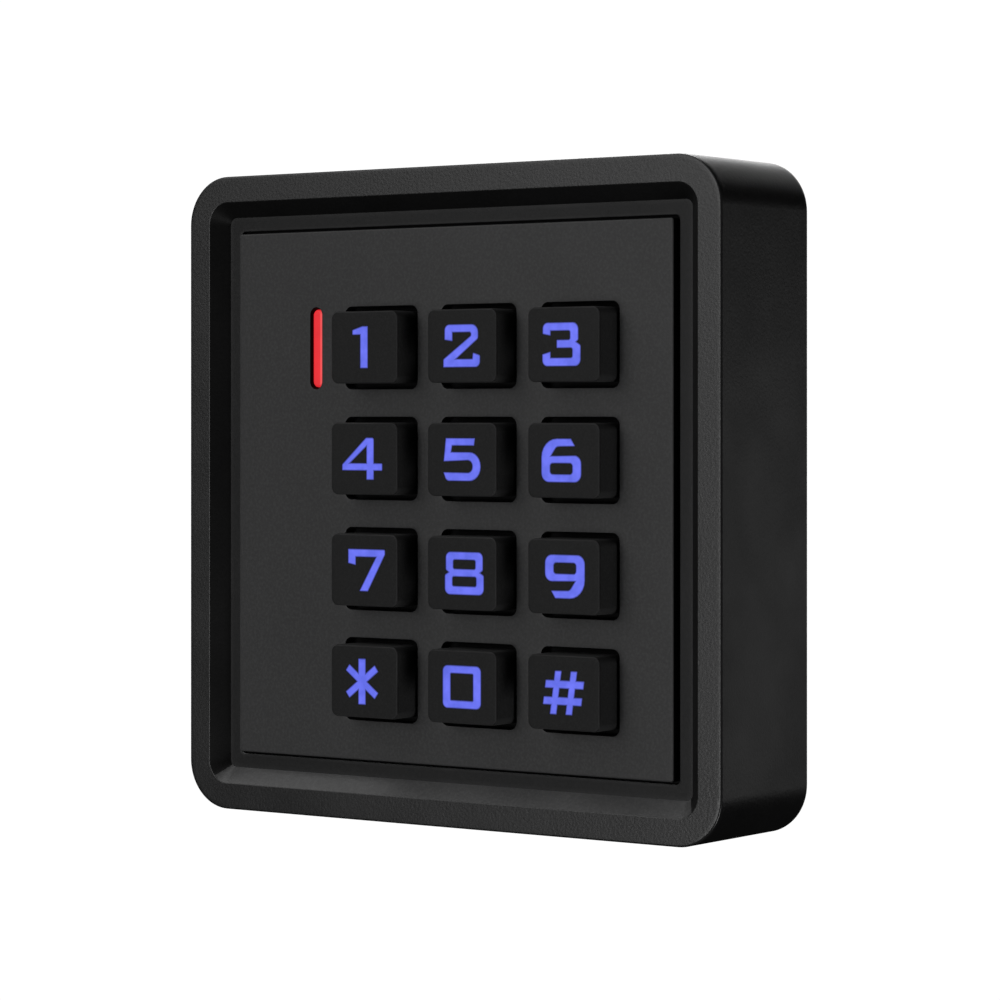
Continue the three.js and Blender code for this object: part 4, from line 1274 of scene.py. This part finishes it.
class READER_OT_connector(ReaderPiece):
    """Add the wire connector's shroud and its contacts"""

    bl_idname = "reader.connector"
    bl_label = "Add Wire Connector"

    def build(self, scene):
        low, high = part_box("wire_connector")
        at = middle("wire_connector")
        width, height = high.x - low.x, high.z - low.z
        outer, inner = (width, height, 0.5 * MM), (width - 2 * MM, height - 2 * MM, 0.4 * MM)
        mouth, floor = high.y, SOCKET_FLOOR
        outer_lip = rounding(*outer, mouth, 0.15 * MM, -1, segments=3)
        inner_lip = rounding(*inner, mouth, 0.25 * MM, -1, outward=-1, segments=3)
        bm = capped_tube(
            [(*outer, low.y), *reversed(outer_lip), *inner_lip, (*inner, floor)], centre=(at.x, at.z)
        )
        key_slot = box_bm(
            (at.x - 2 * MM, mouth - 1.6 * MM, high.z - 1.5 * MM), (at.x + 2 * MM, mouth + MM, high.z + MM)
        )
        whole = cut_and_join(bm, cut=[key_slot])
        nylon = soft_finish("natural_nylon", (0.74, 0.69, 0.56), 0.45, 0.0005, 0.00002)
        place(whole, "connector_shroud", nylon, ["wire_connector"], READER_BODY)
        pins = []
        for i in range(PIN_COUNT):
            x = at.x + (i - 2.5) * 2.2 * MM
            pins.append(capped_tube(
                [(*PIN_TIP, mouth - 0.6 * MM), (*PIN, mouth - 1.0 * MM), (*PIN, floor - 0.1 * MM)],
                centre=(x, at.z), steps=2,
            ))
        tin = metal_finish("tinned_pins", (0.62, 0.6, 0.55), 0.25, 0.0003)
        place(gather(pins), "connector_pins", tin, [], READER_BODY)


MAT_BACK, MAT_FRONT, DOME_CEILING, DOME_ROOF = -11.85 * MM, -12.7 * MM, -14.5 * MM, -14.9 * MM
MAT_CORNER, MAT_GAP, BLOCK_TOP, SHOULDER_TOP = 2 * MM, 0.02 * MM, -20.6 * MM, -16.48 * MM
POST_RADIUS, POST_END, LED_ROOM, KEY_TRAVEL = 2.2 * MM, -13.52 * MM, 0.4 * MM, 1.2 * MM
DOME_FOOT, DOME_SHOULDER = (13.2 * MM, 12.0 * MM, 1.6 * MM), (10.4 * MM, 9.2 * MM, 1.6 * MM)
HOLLOW_FOOT, HOLLOW_TOP = (10.6 * MM, 9.4 * MM, 1.0 * MM), (8.7 * MM, 7.5 * MM, 1.0 * MM)
MAT_SHOULDER, MAT_BLOCK = (9.8 * MM, 8.6 * MM, 0.8 * MM), (8.1 * MM, 6.5 * MM, 0.6 * MM)


class READER_OT_key_mat(ReaderPiece):
    """Add the rubber key mat, each dome's roof riding with its key"""

    bl_idname = "reader.key_mat"
    bl_label = "Add Key Mat"

    def build(self, scene):
        silicone = soft_finish("grey_silicone", (0.42, 0.42, 0.4), 0.55, 0.0004, 0.00003)
        place(mat_sheet(), "mat_sheet", silicone, ["key_mat"], READER_BODY)
        for name in KEY_NAMES:
            at = middle(f"key_{name}")
            skirt = place(mat_skirt(at), f"mat_skirt_{name}", silicone, ["key_mat"], READER_BODY)
            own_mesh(skirt)
            place(mat_block(at), f"mat_block_{name}", silicone, ["key_mat"], f"key_{name}_body")


def mat_sheet():
    """The mat's flat sheet, open under each dome and round each backlight."""
    low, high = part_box("key_mat")
    bm = bmesh.new()
    edges = ring_loop(bm, (high.x - low.x, high.z - low.z, MAT_CORNER), middle("key_mat"))
    for name in KEY_NAMES:
        edges += ring_loop(bm, HOLLOW_FOOT, middle(f"key_{name}"))
    for number in range(1, 5):
        led_low, led_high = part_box(f"backlight_led_{number}")
        size = led_high - led_low
        window = (size.x + 2 * LED_ROOM, size.z + 2 * LED_ROOM, 0.1 * MM)
        edges += ring_loop(bm, window, middle(f"backlight_led_{number}"))
    fill(bm, edges)
    fill(bm, push_edges(bm, edges, MAT_BACK - MAT_FRONT))
    return bm


def ring_loop(bm, ring, at):
    """A closed loop of edges round a rounded rectangle on the front of the mat's sheet."""
    return loop_of(bm, ring_points(*ring, MAT_FRONT, (at.x, at.z), 4))


def mat_skirt(at):
    """A dome's sloping wall, from the sheet up to just below its roof."""
    bm = bmesh.new()
    top = DOME_CEILING + MAT_GAP
    share = (top - MAT_FRONT) / (DOME_ROOF - MAT_FRONT)
    outer = [a + (b - a) * share for a, b in zip(DOME_FOOT, DOME_SHOULDER)]
    tube(
        bm,
        [(*DOME_FOOT, MAT_FRONT), (*outer, top), (*HOLLOW_TOP, top), (*HOLLOW_FOOT, MAT_FRONT)],
        centre=(at.x, at.z), steps=4, closed=True,
    )
    return bm


def mat_block(at):
    """A dome's roof, with the post that holds its contact and the block that fills its key."""
    share = (DOME_CEILING - MAT_FRONT) / (DOME_ROOF - MAT_FRONT)
    roof = [a + (b - a) * share for a, b in zip(DOME_FOOT, DOME_SHOULDER)]
    post = (2 * POST_RADIUS, 2 * POST_RADIUS, POST_RADIUS * 0.999)
    return capped_tube(
        [
            (*post, POST_END), (*post, DOME_CEILING), (*roof, DOME_CEILING), (*DOME_SHOULDER, DOME_ROOF),
            (*MAT_SHOULDER, DOME_ROOF), (*MAT_SHOULDER, SHOULDER_TOP),
            (*MAT_BLOCK, SHOULDER_TOP), (*MAT_BLOCK, BLOCK_TOP),
        ],
        centre=(at.x, at.z),
    )


# The start of a node's name: its material's name, colour, roughness, skin size and skin depth.
SOFT_PARTS = {
    "contact_pill": ("carbon_contacts", (0.012, 0.012, 0.012), 0.8, 0.0002, 0.00003),
    "status_led": ("led_package", (0.86, 0.83, 0.7), 0.35, 0.0003, 0.00001),
    "backlight_led": ("backlight_package", (0.86, 0.84, 0.76), 0.35, 0.0003, 0.00001),
    "buzzer": ("buzzer_plastic", (0.012, 0.012, 0.013), 0.4, 0.0005, 0.00002),
    "controller_chip": ("chip_epoxy", (0.018, 0.018, 0.019), 0.55, 0.0002, 0.00002),
    "cover_gasket": ("closed_cell_foam", (0.022, 0.022, 0.023), 0.95, 0.0006, 0.00012),
}


class READER_OT_inner_finishes(ReaderPiece):
    """Give the parts inside the box their finishes"""

    bl_idname = "reader.inner_finishes"
    bl_label = "Finish Inner Parts"

    def build(self, scene):
        finishes = {node: soft_finish(*values) for node, values in SOFT_PARTS.items()}
        finishes["circuit_board"] = board_finish("green_solder_mask", (0.012, 0.07, 0.022))
        finishes["antenna_coil"] = winding_finish("copper_winding", (0.55, 0.2, 0.05))
        finishes["back_cover"] = moulded_finish(
            "back_cover_plastic", (0.022, 0.022, 0.023), 0.35 * MM, roughness=0.55
        )
        finishes["cover_screw"] = metal_finish("zinc_screws", (0.5, 0.51, 0.52), 0.34, 0.0004)
        for name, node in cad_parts.items():
            for prefix, material in finishes.items():
                if name.startswith(prefix) and not node.hide_render:
                    for one in node.material_slots:
                        one.material = material


WIRE_PITCH = 0.3 * MM


def winding_finish(name, rgb):
    """Rounds of fine enamelled wire, following the coil's four sides, with painted shade darkening the
    grooves between them.
    """
    finish = Finish(name, 0.3, metallic=1.0)
    axes = finish.axes()
    reach = finish.math("MAXIMUM", finish.math("ABSOLUTE", axes["X"]), finish.math("ABSOLUTE", axes["Z"]))
    rounds = finish.math("MULTIPLY", reach, FULL_TURN / WIRE_PITCH)
    wave = finish.math("ADD", finish.math("MULTIPLY", finish.math("SINE", rounds), 0.5), 0.5)
    # Painted shade: the colour darkens where the bump is low, in the grooves between the rounds.
    finish.set("Base Color", finish.mix(wave, scaled(rgb, 0.6), scaled(rgb, 1.1)))
    finish.set("Roughness", finish.spread(finish.noise(0.002, 2.0), 0.25, 0.38))
    finish.bump(wave, 0.5, 0.00006)
    return finish.material


# ---- panel and registration ----


PIECES = (
    READER_OT_stage,
    READER_OT_housing,
    READER_OT_face_plate,
    READER_OT_keys,
    READER_OT_legends,
    READER_OT_light_bar,
    READER_OT_wall_plate,
    READER_OT_security_screw,
    READER_OT_connector,
    READER_OT_key_mat,
    READER_OT_inner_finishes,
)


class READER_PT_panel(bpy.types.Panel):
    """The sidebar panel with the reader's sizes, finishes and pieces"""

    bl_idname = "READER_PT_panel"
    bl_label = "Keypad Reader"
    bl_space_type = "VIEW_3D"
    bl_region_type = "UI"
    bl_category = "Reader"

    def draw(self, context):
        layout = self.layout
        for group in GROUPS:
            settings = getattr(context.scene, group)
            box = layout.box()
            for name in settings.bl_rna.properties.keys():
                if name not in ("name", "rna_type"):
                    box.prop(settings, name)
        for piece in PIECES:
            layout.operator(piece.bl_idname)


GROUPS = {
    "reader_body": ReaderBodySizes,
    "reader_keys": ReaderKeySizes,
    "reader_finishes": ReaderFinishes,
    "reader_studio": ReaderStudio,
}
CLASSES = (*GROUPS.values(), *PIECES, READER_PT_panel)


def register():
    for one in CLASSES:
        bpy.utils.register_class(one)
    for name, group in GROUPS.items():
        setattr(bpy.types.Scene, name, PointerProperty(type=group))


def unregister():
    for name in GROUPS:
        delattr(bpy.types.Scene, name)
    for one in reversed(CLASSES):
        bpy.utils.unregister_class(one)


def main():
    """Builds every piece."""
    register()
    for piece in PIECES:
        group, name = piece.bl_idname.split(".")
        getattr(getattr(bpy.ops, group), name)()


if __name__ == "__main__":
    main()
